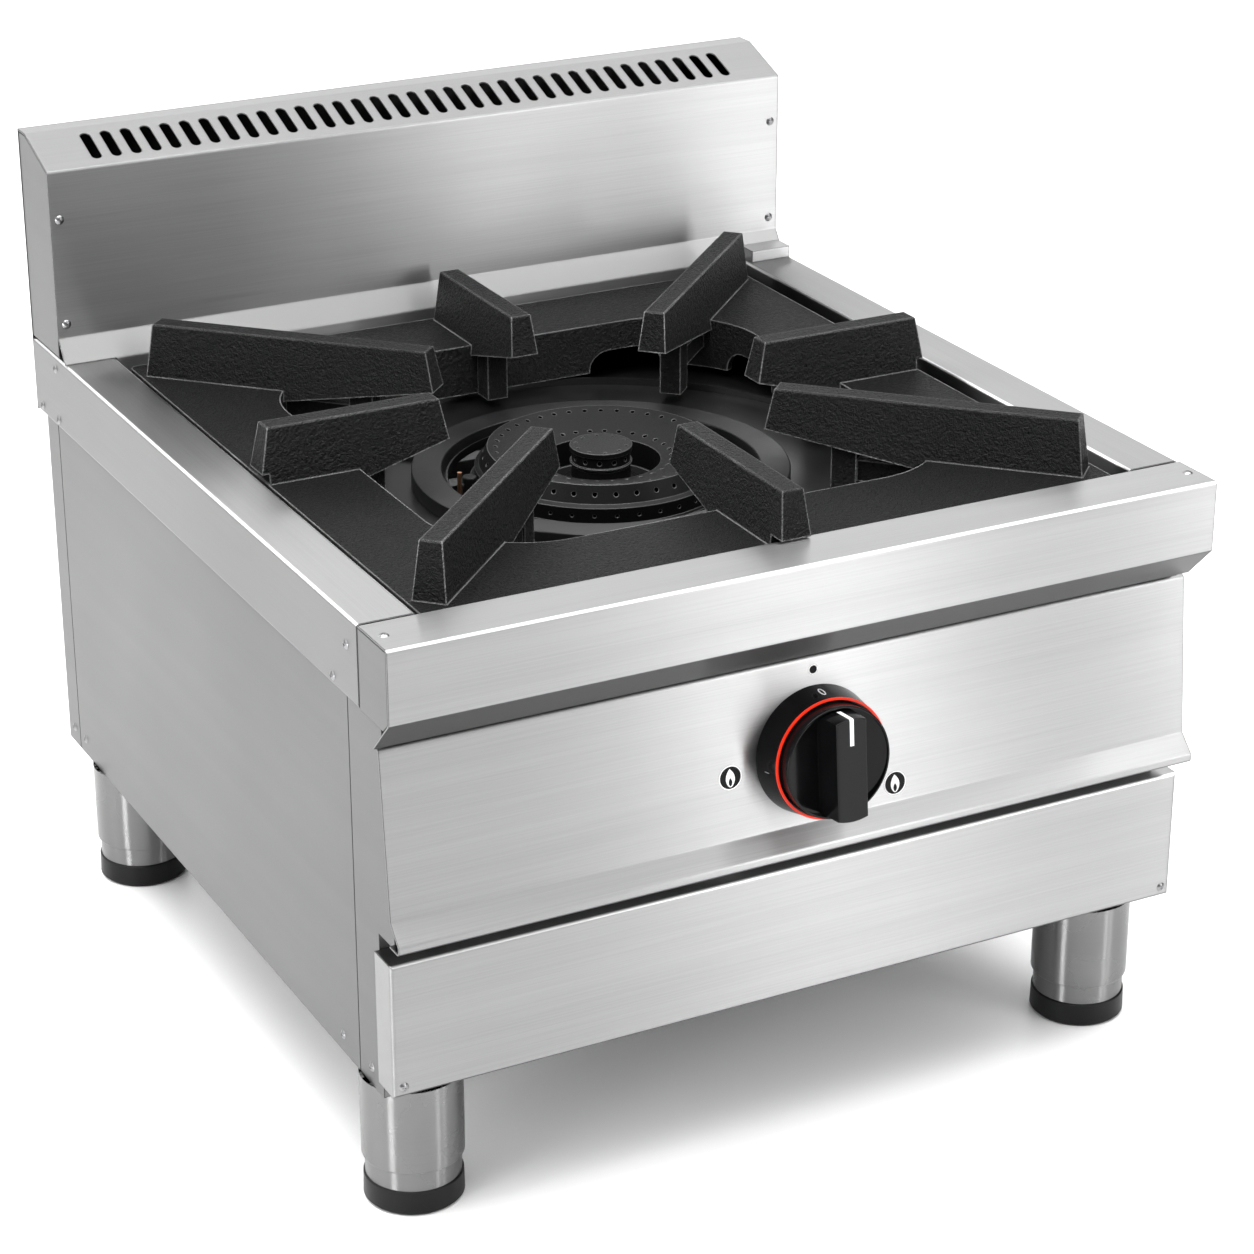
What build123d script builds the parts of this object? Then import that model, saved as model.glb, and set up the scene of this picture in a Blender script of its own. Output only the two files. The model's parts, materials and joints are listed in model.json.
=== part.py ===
from build123d import *
import math
import os

# Free-standing stock pot range: one large gas burner under a cast grid, a folded steel
# cabinet on four adjustable legs, a vented splashback and a pull-out drip tray.
# Lengths are millimetres. While it is built, X is centred, Y runs back from the front
# face of the worktop and Z runs up from the floor.

# ---- overall size ----------------------------------------------------------------------
WIDTH = 600.0
DEPTH = 650.0
WORKTOP_HEIGHT = 422.0
SPLASH_RISE = 158.7

# ---- sheet metal -----------------------------------------------------------------------
SHEET = 1.2
BEND = 1.3
SEAM = 0.9
BODY_INSET = 7.0
LIFT_GAP = 0.3

# ---- worktop rails ---------------------------------------------------------------------
SIDE_RAIL_WIDTH = 39.0
SIDE_RAIL_DROP = 56.0
RAIL_RETURN = 22.0
WELL_LEDGE = 15.3
FRONT_RAIL_WIDTH = 44.0
FRONT_RAIL_FACE = 49.5
FRONT_CHAMFER_BACK = 24.0
FRONT_CHAMFER_DROP = 24.5
BACK_RAIL_FLANGE = 20.0

# ---- control panel ---------------------------------------------------------------------
PANEL_TOP_GAP = 1.5
PANEL_TOP_SET_BACK = 24.4
PANEL_LEAN = 10.4
PANEL_FACE_DROP = 113.0
PANEL_LIP_OUT = 11.7
PANEL_LIP_SLOPE = 12.0
PANEL_LIP_FACE = 6.2
PANEL_SIDE_GAP = 3.0

# ---- corner posts, casing and base -----------------------------------------------------
POST_FRONT = 42.0
POST_FRONT_WIDTH = 37.0
POST_REAR_WIDTH = 24.0
POST_FLANGE = 27.0
POST_NOSE_GAP = 2.4
POST_NOSE_STEP = 3.5
BODY_FLOOR = 93.0
BASE_RAISE = 3.0
BASE_UPTURN = 18.0
BASE_SLOT_LENGTH = 150.0
BASE_SLOT_WIDTH = 14.0
BASE_SLOT_COUNT = 5
BASE_SLOT_PITCH = 70.0
LOUVRE_COUNT = 7
LOUVRE_LENGTH = 120.0
LOUVRE_WIDTH = 7.0
LOUVRE_PITCH = 20.0
LOUVRE_SIDE = 90.0
LOUVRE_TOP_DROP = 80.0

# ---- splashback ------------------------------------------------------------------------
SPLASH_DEPTH = 62.5
SPLASH_FOOT = 12.5
SPLASH_FOLD_RISE = 17.0
SPLASH_FACE_RISE = 141.4
SPLASH_TOP_DEPTH = 15.7
SPLASH_SIDE_GAP = 2.0
END_TAB = 12.0
END_TAB_RAISE = 4.0
VENT_COUNT = 35
VENT_PITCH = 15.2
VENT_LENGTH = 32.0
VENT_WIDTH = 7.6
CORNER_CAP_WIDTH = 34.0
CORNER_CAP_DEPTH = 12.0
CORNER_CAP_HEIGHT = 9.0

# ---- drip tray -------------------------------------------------------------------------
TRAY_FACE = 17.0
TRAY_FACE_TOP = 201.0
TRAY_FACE_BOTTOM = 106.5
TRAY_FACE_DEPTH = 24.0
TRAY_SIDE_GAP = 43.0
TRAY_BACK_GAP = 90.0
TRAY_FLOOR = 112.0
TRAY_WALL = 53.0
TRAY_RIM = 10.0
RUNNER_LEG = 22.0
RUNNER_CLEARANCE = 2.0

# ---- spill pan and drip ring -----------------------------------------------------------
PAN_DEPTH = 50.0
PAN_FLANGE = 29.0
PAN_CORNER = 24.0
PAN_BEND = 5.0
PAN_OPENING_RADIUS = 108.0
PAN_OPENING_LIP = 5.0
PAN_BEAD_RADIUS = 200.0
PAN_BEAD_WIDTH = 3.0
PAN_BEAD_HEIGHT = 5.0
DRIP_RING_TOP_DROP = 39.0
DRIP_RING_OUTER = 133.5
DRIP_RING_INNER = 112.0
DRIP_RING_WALL = 3.0
DRIP_RING_EDGE = 1.0
DRIP_RING_LUG = 17.0
DRIP_RING_LUG_WIDTH = 16.0

# ---- cast grid -------------------------------------------------------------------------
GRID_GAP_SIDE = 7.0
GRID_GAP_FRONT = 6.0
GRID_TOP_DROP = 6.0
GRID_CORNER = 6.0
GRID_HOLE_HALF = 188.0
GRID_HOLE_CORNER = 72.0
SKIRT_WALL = 7.0
SKIRT_BOTTOM_DROP = 44.0
NOTCH_TOP_DROP = 28.0
NOTCH_CENTRE_ANGLE = 32.0
NOTCH_WIDTH = 52.0
NOTCH_CORNER = 14.0
FINGER_RISE = 33.0
FINGER_TOP_WIDTH = 15.5
FINGER_BASE_WIDTH = 23.0
FINGER_END_DRAFT = 6.0
FINGER_TIP = 121.0
FINGER_TIP_BOTTOM = 4.0
FINGER_HEEL_DROP = 14.0
FINGER_OVERHANG_LIFT = 1.5
FINGER_EDGE = 1.2
FINGER_CORNER_INSET = 20.0
FINGER_SIDE_OVERHANG = 4.0
FINGER_FRONT_OVERHANG = 12.5
FINGER_BACK_INSET = 2.5
WEB_WIDTH = 12.0
WEB_DROP = 28.0
PILLAR_INNER = 168.0
PILLAR_OUTER = 186.0
PILLAR_WIDTH = 16.0

# ---- burner ----------------------------------------------------------------------------
BURNER_TOP_DROP = 24.0
RIM_RADIUS = 80.0
RIM_SLOPE_OUT = 6.0
RIM_SLOPE_DROP = 12.0
LEDGE_OUT = 3.0
LEDGE_DROP = 2.0
BAND_HEIGHT = 11.0
FLANGE_OUT = 4.0
FLANGE_THICKNESS = 4.0
DISH_INNER = 42.0
DISH_DROP = 11.0
RING_WALL = 4.0
BODY_RADIUS = 95.0
BODY_HEIGHT = 44.0
BODY_WALL = 5.0
BOSS_RADIUS = 20.0
BOSS_LENGTH = 26.0
HUB_RADIUS = 24.0
HUB_BORE = 15.0
ARM_WIDTH = 16.0
ARM_HEIGHT = 12.0
ARM_BORE = 4.0
CAP_RADIUS = 22.0
CAP_BASE_RADIUS = 27.0
CAP_DISC = 3.5
CAP_BAND = 8.0
CAP_STEP = 1.5
CAP_WALL = 2.5
CAP_SPIGOT = 9.0
CAP_TOP_PORT_COUNT = 10
SIDE_PORT_COUNT = 36
OUTER_PORT_COUNT = 40
INNER_PORT_COUNT = 30
OUTER_ROW_INSET = 6.0
INNER_ROW_OUT = 8.0
PORT_DIAMETER = 3.2
PORT_SMALL = 2.4
CAP_PORT_COUNT = 12
CAP_FLARE = 6.0
BRIDGE_WIDTH = 60.0
BRIDGE_LIP = 15.0

# ---- gas train -------------------------------------------------------------------------
TUBE_THROAT = 13.0
TUBE_MOUTH = 21.0
TUBE_WALL = 2.5
TUBE_SOCKET = 12.0
SHUTTER_RADIUS = 24.0
SHUTTER_THICKNESS = 3.0
SHUTTER_GAP = 8.0
SHUTTER_HUB = 11.0
SHUTTER_BORE_FIT = 0.05
INJECTOR_RADIUS = 7.0
INJECTOR_LENGTH = 28.0
INJECTOR_BORE = 1.1
INJECTOR_HEX = 8.0
SUPPLY_PIPE_RADIUS = 7.5
FEED_PIPE_RADIUS = 5.0
PIPE_WALL = 1.0
FEED_PIPE_BEND = 12.0
FEED_RUN = 16.2
SUPPLY_PIPE_BEND = 22.5
SUPPLY_INSET = 75.0
SUPPLY_HEIGHT = 190.0
INLET_RADIUS = 10.5
INLET_LENGTH = 22.0
INLET_NUT_RADIUS = 16.0
INLET_NUT_LENGTH = 8.0
INLET_COLLAR_RADIUS = 15.0
INLET_COLLAR = 3.0
INLET_FIT = 0.5
PILOT_RADIUS = 5.0
PILOT_RING = 102.0
PILOT_TOP_DROP = 30.0
PILOT_EDGE = 1.2
PROBE_RADIUS = 1.6
PROBE_COLLAR = 10.0
PROBE_ANGLE = 12.0

# ---- knob and valve --------------------------------------------------------------------
KNOB_SIDE = 6.0
KNOB_DROP = 63.5
BEZEL_RADIUS = 44.0
BEZEL_FRONT_RADIUS = 41.0
BEZEL_HEIGHT = 20.0
BEZEL_WALL = 2.5
BEZEL_RING_WIDTH = 1.6
BEZEL_RING_HEIGHT = 1.2
KNOB_FIT = 0.5
KNOB_PUSH = 4.0
KNOB_DISC_FRONT = 30.5
KNOB_FRONT = 47.0
KNOB_GRIP_WIDTH = 22.0
KNOB_GRIP_BASE = 25.0
KNOB_GRIP_RADIUS = 35.0
KNOB_RIM = 1.5
KNOB_DISH = 5.0
KNOB_DISH_RIM = 1.0
KNOB_EDGE = 1.0
SPINDLE_RADIUS = 4.0
SPINDLE_FIT = 0.05
SPINDLE_REACH = 22.0
SPINDLE_DEPTH = 30.0
BORE_SPARE = 2.0
VALVE_RADIUS = 16.0
VALVE_LENGTH = 46.0
VALVE_BOSS_RADIUS = 10.0
VALVE_BOSS_REACH = 26.0
PORT_BOSS_WALL = 2.5
OUTLET_BACK = 62.0
OUTLET_RISE = 22.0
INLET_PORT_BACK = 76.0
INLET_PORT_REACH = 28.0
SOCKET_DEPTH = 6.0
PLUNGER_RADIUS = 2.0
PLUNGER_LENGTH = 16.0

# ---- legs ------------------------------------------------------------------------------
LEG_SIDE_INSET = 38.0
LEG_FRONT = 70.0
LEG_REAR_INSET = 67.0
LEG_PLATE = 78.0
LEG_PLATE_THICKNESS = 3.0
SLEEVE_RADIUS = 34.0
SLEEVE_BOTTOM = 32.0
SLEEVE_WALL = 2.0
FOOT_FIT = 0.1
FOOT_TUBE_WALL = 2.0
FOOT_TUBE_TOP = 80.0
FOOT_STOP = 5.0
PAD_RADIUS = 33.4
PAD_TOP_RADIUS = 33.0
PAD_HEIGHT = 18.0
PAD_EDGE = 2.0

# ---- fasteners -------------------------------------------------------------------------
SCREW_HEAD = 3.4
SCREW_DOME = 1.5
SCREW_SHANK = 1.9
SCREW_LENGTH = 5.0
SCREW_FIT = 0.1
SCREW_SLOT_WIDTH = 0.7
SCREW_SLOT_DEPTH = 0.5
RAIL_SCREW_FRONT = 62.0
RAIL_SCREW_STEP = 23.0
RAIL_SCREW_DROP = 19.5
RAIL_SCREW_RISE = 6.5
RAIL_SCREW_REAR_INSET = 50.0
END_SCREW_INSET = 13.5
CAP_SCREW_INSET = 8.0
BODY_SCREW_HEIGHT = 106.0
SIDE_SCREW_INSET = 22.0
SPLASH_SCREW_INSET = 7.0
SPLASH_SCREW_LOW = 10.0
SPLASH_SCREW_HIGH = 36.0
TRAY_SCREW_INSET = 10.0
TRAY_SCREW_RISE = 7.0

# ---- worked out ------------------------------------------------------------------------
HALF = WIDTH / 2
BODY_HALF = HALF - BODY_INSET
BODY_INNER = BODY_HALF - SHEET
RAIL_BOTTOM = WORKTOP_HEIGHT - SIDE_RAIL_DROP
LEDGE = WORKTOP_HEIGHT - WELL_LEDGE
WELL_HALF = HALF - SIDE_RAIL_WIDTH
WELL_FRONT = FRONT_RAIL_WIDTH
SPLASH_FACE = DEPTH - SPLASH_DEPTH
WELL_BACK = SPLASH_FACE - SPLASH_FOOT
BURNER_Y = (WELL_FRONT + WELL_BACK) / 2
BACK_INNER = DEPTH - SHEET
PAN_FLOOR = WORKTOP_HEIGHT - PAN_DEPTH
BURNER_TOP = WORKTOP_HEIGHT - BURNER_TOP_DROP
RING_SEAT = BURNER_TOP - RIM_SLOPE_DROP - LEDGE_DROP - BAND_HEIGHT - FLANGE_THICKNESS
CASTING_TOP = RING_SEAT - LIFT_GAP
CASTING_BOTTOM = CASTING_TOP - BODY_HEIGHT
BOSS_HEIGHT = CASTING_BOTTOM + BOSS_RADIUS
BOSS_FRONT = BURNER_Y - BODY_RADIUS - BOSS_LENGTH
TUBE_FRONT = OUTLET_BACK + FEED_RUN + INJECTOR_LENGTH + LIFT_GAP
TUBE_LENGTH = BOSS_FRONT - TUBE_FRONT
SHUTTER_BACK = TUBE_FRONT - SHUTTER_GAP
PANEL_TOP = WORKTOP_HEIGHT - FRONT_RAIL_FACE - FRONT_CHAMFER_DROP - PANEL_TOP_GAP
PANEL_FOLD_Y = PANEL_TOP_SET_BACK - PANEL_LEAN
PANEL_FOLD = PANEL_TOP - PANEL_FACE_DROP
PANEL_LIP_Y = PANEL_FOLD_Y - PANEL_LIP_OUT
PANEL_LIP = PANEL_FOLD - PANEL_LIP_SLOPE
PANEL_BOTTOM = PANEL_LIP - PANEL_LIP_FACE
LEAN = math.atan2(PANEL_LEAN, PANEL_FACE_DROP)
KNOB_Z = PANEL_TOP - KNOB_DROP
KNOB_Y = PANEL_TOP_SET_BACK - KNOB_DROP * math.tan(LEAN)
KNOB_PLANE = Plane(
    origin=(KNOB_SIDE, KNOB_Y, KNOB_Z),
    x_dir=(1, 0, 0),
    z_dir=(0, -math.cos(LEAN), math.sin(LEAN)),
)
GRID_HALF_X = WELL_HALF - GRID_GAP_SIDE
GRID_HALF_Y = (WELL_BACK - WELL_FRONT) / 2 - GRID_GAP_FRONT
GRID_TOP = WORKTOP_HEIGHT - GRID_TOP_DROP
GRID_BOTTOM = LEDGE + LIFT_GAP
BASE_TOP = BODY_FLOOR + BASE_RAISE + SHEET
INLET_BACK = DEPTH + INLET_LENGTH
KNOB_REACH_Y = (
    KNOB_Y
    - (KNOB_GRIP_RADIUS - KNOB_EDGE) * math.sin(LEAN)
    - (KNOB_FRONT - KNOB_EDGE) * math.cos(LEAN)
    - KNOB_EDGE
)
TRAY_HALF_WIDTH = BODY_HALF - TRAY_SIDE_GAP
TRAY_BACK = DEPTH - TRAY_BACK_GAP
LEG_SIDE = HALF - LEG_SIDE_INSET
LEG_REAR = DEPTH - LEG_REAR_INSET
SUPPLY_SIDE = HALF - SUPPLY_INSET
RAIL_SCREW_REAR = DEPTH - RAIL_SCREW_REAR_INSET
TUBE_RADIUS = SLEEVE_RADIUS - SLEEVE_WALL - FOOT_FIT
MID_Y = (KNOB_REACH_Y + INLET_BACK) / 2


# ---- building helpers ------------------------------------------------------------------
def box(x0, x1, y0, y1, z0, z1):
    """A block between two corners."""
    return Pos((x0 + x1) / 2, (y0 + y1) / 2, (z0 + z1) / 2) * Box(x1 - x0, y1 - y0, z1 - z0)


def rod(radius, z0, z1, x=0.0, y=0.0):
    """An upright cylinder."""
    return Pos(x, y, (z0 + z1) / 2) * Cylinder(radius, z1 - z0)


def rod_y(radius, y0, y1, x, z):
    """A cylinder along Y."""
    return Pos(x, (y0 + y1) / 2, z) * Rot(90, 0, 0) * Cylinder(radius, y1 - y0)


def prism_x(section, x0, x1):
    """A section drawn in Y and Z, pulled along X."""
    return extrude(Plane.YZ.offset(x0) * section, x1 - x0)


def prism_y(section, y0, y1):
    """A section drawn in X and Z, pulled along Y."""
    return extrude(Plane.XZ.offset(-y1) * section, y1 - y0)


def outline(points):
    """A flat shape through the points, facing up whichever way round they are given."""
    pairs = zip(points, points[1:] + points[:1])
    turn = sum(a[0] * b[1] - b[0] * a[1] for a, b in pairs)
    return Polygon(*(points if turn > 0 else points[::-1]), align=None)


def turned(points, x=0.0, y=0.0):
    """A solid of revolution about a vertical axis, from (radius, height) points."""
    return Pos(x, y, 0) * revolve(Plane.XZ * outline(points), Axis.Z)


def mirrored(part):
    return mirror(part, about=Plane.YZ)


def vertices_at(shape, points):
    """The corners of a flat shape that lie on the given points."""
    found = []
    for point in points:
        target = Vector(*point)
        found.append(min(shape.vertices(), key=lambda v: (Vector(v.X, v.Y) - target).length))
    return found


def folded(points, bend=BEND):
    """The section of a folded sheet. The points follow its outer skin, and the sheet
    lies to the left of the way they run."""
    skin = [Vector(*p) for p in points]
    runs = [(b - a).normalized() for a, b in zip(skin, skin[1:])]
    left = [Vector(-r.Y, r.X) for r in runs]
    back = [skin[0] + left[0] * SHEET]
    inside, outside = [], []
    for i in range(1, len(skin) - 1):
        n0, n1 = left[i - 1], left[i]
        corner = skin[i] + (n0 + n1) * (SHEET / (1 + n0.dot(n1)))
        back.append(corner)
        turns_left = runs[i - 1].cross(runs[i]).Z > 0
        inside.append(corner if turns_left else skin[i])
        outside.append(skin[i] if turns_left else corner)
    back.append(skin[-1] + left[-1] * SHEET)
    flat = [(p.X, p.Y) for p in skin + back[::-1]]
    section = outline(flat)
    if inside:
        section = fillet(vertices_at(section, [(p.X, p.Y) for p in inside]), bend)
        section = fillet(vertices_at(section, [(p.X, p.Y) for p in outside]), bend + SHEET)
    return section


def piped(points, radius, bend, wall=PIPE_WALL):
    """A pipe along straight runs joined by bends."""
    path = FilletPolyline(*points, radius=bend)
    start = Plane(origin=path @ 0, z_dir=path % 0)
    section = start * (Circle(radius) - Circle(radius - wall))
    return sweep(section, path=path)


def screw(place, normal):
    """A pan-head screw, its head seated at a place on a panel."""
    seat = Plane(origin=place, z_dir=normal)
    dome_radius = (SCREW_HEAD ** 2 + SCREW_DOME ** 2) / (2 * SCREW_DOME)
    dome = Pos(0, 0, SCREW_DOME - dome_radius) * Sphere(dome_radius)
    head = dome & (Pos(0, 0, SCREW_DOME / 2) * Cylinder(SCREW_HEAD, SCREW_DOME))
    shank = Pos(0, 0, -SCREW_LENGTH / 2) * Cylinder(SCREW_SHANK, SCREW_LENGTH)
    recess = Pos(0, 0, SCREW_DOME) * Box(SCREW_HEAD, SCREW_SLOT_WIDTH, 2 * SCREW_SLOT_DEPTH)
    cross = recess + Rot(0, 0, 90) * recess
    return seat * (head + shank - cross)


def drilled(part, places):
    """The part with a clearance hole for each screw."""
    holes = []
    for place, normal in places:
        seat = Plane(origin=place, z_dir=normal)
        holes.append(seat * Cylinder(SCREW_SHANK + SCREW_FIT, 2 * (SCREW_LENGTH + SCREW_FIT)))
    return part - holes


PARTS = {}


def keep(name, part):
    PARTS[name] = part


# ---- worktop rails ---------------------------------------------------------------------
def side_rail():
    """Left rail of the worktop: well wall, top, outer face and lower return."""
    section = folded([
        (-WELL_HALF, LEDGE),
        (-WELL_HALF, WORKTOP_HEIGHT),
        (-HALF, WORKTOP_HEIGHT),
        (-HALF, RAIL_BOTTOM),
        (-HALF + RAIL_RETURN, RAIL_BOTTOM),
    ])
    return prism_y(section, FRONT_RAIL_WIDTH + SEAM, BACK_INNER)


def front_rail():
    """Front rail: well wall, top, face and the chamfer that runs back to the panel."""
    section = folded([
        (FRONT_RAIL_WIDTH, LEDGE),
        (FRONT_RAIL_WIDTH, WORKTOP_HEIGHT),
        (0, WORKTOP_HEIGHT),
        (0, WORKTOP_HEIGHT - FRONT_RAIL_FACE),
        (FRONT_CHAMFER_BACK, WORKTOP_HEIGHT - FRONT_RAIL_FACE - FRONT_CHAMFER_DROP),
    ])
    rail = prism_x(section, -HALF, HALF)
    clear = WELL_HALF + SHEET
    for x0, x1 in ((-HALF, -clear), (clear, HALF)):
        rail -= box(x0, x1, FRONT_RAIL_WIDTH - SHEET - BEND, FRONT_RAIL_WIDTH, LEDGE,
                    WORKTOP_HEIGHT - SHEET)
    return rail


def front_cap():
    """End plate of the front rail, set in from the folded sheet by a seam, with a tab
    fixed under the top."""
    inset = SHEET + SEAM
    chamfer = FRONT_CHAMFER_BACK / FRONT_CHAMFER_DROP
    face_end = WORKTOP_HEIGHT - FRONT_RAIL_FACE
    foot_y = (face_end - RAIL_BOTTOM) * chamfer + inset * math.hypot(1, chamfer)
    plate = prism_x(outline([
        (FRONT_RAIL_WIDTH, WORKTOP_HEIGHT - inset),
        (inset, WORKTOP_HEIGHT - inset),
        (inset, face_end),
        (foot_y, RAIL_BOTTOM),
        (FRONT_RAIL_WIDTH, RAIL_BOTTOM),
    ]), -HALF + LIFT_GAP, -HALF + LIFT_GAP + SHEET)
    wing = -HALF + LIFT_GAP + SHEET
    tab = box(wing, wing + END_TAB, END_TAB, FRONT_RAIL_WIDTH - END_TAB,
              WORKTOP_HEIGHT - 2 * SHEET - SEAM, WORKTOP_HEIGHT - SHEET)
    return plate + tab


def back_rail():
    """Rear frame channel, closing the back of the worktop between the side rails."""
    web = box(-HALF, HALF, BACK_INNER, DEPTH, RAIL_BOTTOM, WORKTOP_HEIGHT)
    front = BACK_INNER - BACK_RAIL_FLANGE
    top = box(-WELL_HALF, WELL_HALF, front, BACK_INNER,
              WORKTOP_HEIGHT - SHEET, WORKTOP_HEIGHT)
    foot = box(-WELL_HALF, WELL_HALF, front, BACK_INNER, RAIL_BOTTOM, RAIL_BOTTOM + SHEET)
    return web + top + foot


# ---- cabinet ---------------------------------------------------------------------------
def control_panel():
    """Leaning panel with a drip lip along its foot; its flanges reach back to the posts."""
    section = folded([
        (POST_FRONT, PANEL_TOP),
        (PANEL_TOP_SET_BACK, PANEL_TOP),
        (PANEL_FOLD_Y, PANEL_FOLD),
        (PANEL_LIP_Y, PANEL_LIP),
        (PANEL_LIP_Y, PANEL_BOTTOM),
        (POST_FRONT, PANEL_BOTTOM),
    ])
    panel = prism_x(section, -HALF + PANEL_SIDE_GAP, HALF - PANEL_SIDE_GAP)
    panel -= KNOB_PLANE * Cylinder(SPINDLE_RADIUS + KNOB_FIT, 4 * SHEET)
    for x0, x1 in ((-HALF, -BODY_INNER + LIFT_GAP), (BODY_INNER - LIFT_GAP, HALF)):
        panel -= prism_x(outline([
            (POST_FRONT + SHEET, PANEL_TOP + SHEET),
            (PANEL_TOP_SET_BACK + POST_NOSE_GAP, PANEL_TOP + SHEET),
            (PANEL_TOP_SET_BACK + POST_NOSE_GAP, PANEL_TOP),
            (PANEL_FOLD_Y + POST_NOSE_GAP, PANEL_FOLD),
            (PANEL_FOLD_Y + POST_NOSE_GAP, PANEL_BOTTOM - SHEET),
            (POST_FRONT + SHEET, PANEL_BOTTOM - SHEET),
        ]), x0, x1)
    return panel


def front_post():
    """Left front post: a side strip whose nose follows the panel, and a front flange."""
    nose_top = PANEL_TOP_SET_BACK + SHEET + POST_NOSE_GAP
    nose_foot = PANEL_FOLD_Y + SHEET + POST_NOSE_GAP
    rear = POST_FRONT + POST_FRONT_WIDTH
    strip = prism_x(outline([
        (rear, RAIL_BOTTOM),
        (nose_top, RAIL_BOTTOM),
        (nose_top, PANEL_TOP),
        (nose_foot, PANEL_FOLD),
        (nose_foot, PANEL_BOTTOM - POST_NOSE_STEP),
        (POST_FRONT, PANEL_BOTTOM - POST_NOSE_STEP),
        (POST_FRONT, BODY_FLOOR),
        (rear, BODY_FLOOR),
    ]), -BODY_HALF, -BODY_INNER)
    flange = box(-BODY_INNER, -BODY_HALF + POST_FLANGE, POST_FRONT, POST_FRONT + SHEET,
                 BODY_FLOOR, RAIL_BOTTOM)
    return strip + flange


def rear_post():
    """Left rear post: a side strip and a rear flange behind which the rear panel fits."""
    strip = box(-BODY_HALF, -BODY_INNER, DEPTH - SHEET - POST_REAR_WIDTH, BACK_INNER,
                BODY_FLOOR, RAIL_BOTTOM)
    flange = box(-BODY_INNER, -BODY_HALF + POST_FLANGE, BACK_INNER - SHEET, BACK_INNER,
                 BODY_FLOOR, RAIL_BOTTOM)
    return strip + flange


def side_panel():
    """Left side panel, between the posts with a seam at each edge."""
    front = POST_FRONT + POST_FRONT_WIDTH + SEAM
    rear = DEPTH - SHEET - POST_REAR_WIDTH - SEAM
    return box(-BODY_HALF, -BODY_INNER, front, rear, BODY_FLOOR, RAIL_BOTTOM)


def rear_panel():
    """Rear panel with air louvres and a hole for the gas inlet."""
    panel = box(-BODY_HALF, BODY_HALF, BACK_INNER, DEPTH, BODY_FLOOR, RAIL_BOTTOM)
    slots = []
    for side in (-1, 1):
        for row in range(LOUVRE_COUNT):
            height = RAIL_BOTTOM - LOUVRE_TOP_DROP - row * LOUVRE_PITCH
            slot = Plane.XZ.offset(-DEPTH - SHEET) * SlotOverall(LOUVRE_LENGTH, LOUVRE_WIDTH)
            place = Pos(side * LOUVRE_SIDE, 0, height)
            slots.append(place * extrude(slot, 3 * SHEET))
    inlet = rod_y(INLET_RADIUS + INLET_FIT, BACK_INNER - SHEET, DEPTH + SHEET,
                  SUPPLY_SIDE, SUPPLY_HEIGHT)
    return panel - slots - inlet


def base_panel():
    """Bottom panel, turned up along its sides, with air slots under the burner."""
    front = POST_FRONT + SHEET
    rear = BACK_INNER - SHEET
    bottom = BODY_FLOOR + BASE_RAISE
    section = folded([
        (-BODY_INNER, BASE_TOP + BASE_UPTURN),
        (-BODY_INNER, bottom),
        (BODY_INNER, bottom),
        (BODY_INNER, BASE_TOP + BASE_UPTURN),
    ])
    panel = prism_y(section, front, rear)
    slots = []
    for column in range(BASE_SLOT_COUNT):
        x = (column - (BASE_SLOT_COUNT - 1) / 2) * BASE_SLOT_PITCH
        slot = Plane.XY.offset(bottom - SHEET) * SlotOverall(BASE_SLOT_LENGTH, BASE_SLOT_WIDTH)
        slots.append(Pos(x, BURNER_Y, 0) * Rot(0, 0, 90) * extrude(slot, 3 * SHEET))
    return panel - slots


# ---- splashback ------------------------------------------------------------------------
SPLASH_FOLD = WORKTOP_HEIGHT + SPLASH_FOLD_RISE
SPLASH_BEND = WORKTOP_HEIGHT + SPLASH_FACE_RISE
SPLASH_TOP = WORKTOP_HEIGHT + SPLASH_RISE
SPLASH_CREST = DEPTH - SPLASH_TOP_DEPTH
VENT_SLOPE = math.atan2(SPLASH_TOP - SPLASH_BEND, SPLASH_CREST - SPLASH_FACE)


def splash_front():
    """Splashback sheet: top strip, vented slope, face, foot flange and well wall."""
    section = folded([
        (BACK_INNER, SPLASH_TOP),
        (SPLASH_CREST, SPLASH_TOP),
        (SPLASH_FACE, SPLASH_BEND),
        (SPLASH_FACE, SPLASH_FOLD),
        (WELL_BACK, WORKTOP_HEIGHT),
        (WELL_BACK, LEDGE),
    ])
    sheet = prism_x(section, -HALF, HALF)
    for side in (-1, 1):
        outer, inner = side * (HALF + SHEET), side * WELL_HALF
        sheet -= box(min(outer, inner), max(outer, inner), WELL_BACK - SHEET,
                     SPLASH_FACE + SPLASH_FOOT, LEDGE - SHEET, WORKTOP_HEIGHT)
    middle_y = (SPLASH_FACE + SPLASH_CREST) / 2
    middle_z = (SPLASH_BEND + SPLASH_TOP) / 2
    slot = extrude(Rot(0, 0, 90) * SlotOverall(VENT_LENGTH, VENT_WIDTH), 3 * SHEET, both=True)
    slots = []
    for column in range(VENT_COUNT):
        x = (column - (VENT_COUNT - 1) / 2) * VENT_PITCH
        place = Pos(x, middle_y, middle_z) * Rot(math.degrees(VENT_SLOPE), 0, 0)
        slots.append(place * slot)
    return sheet - slots


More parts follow.
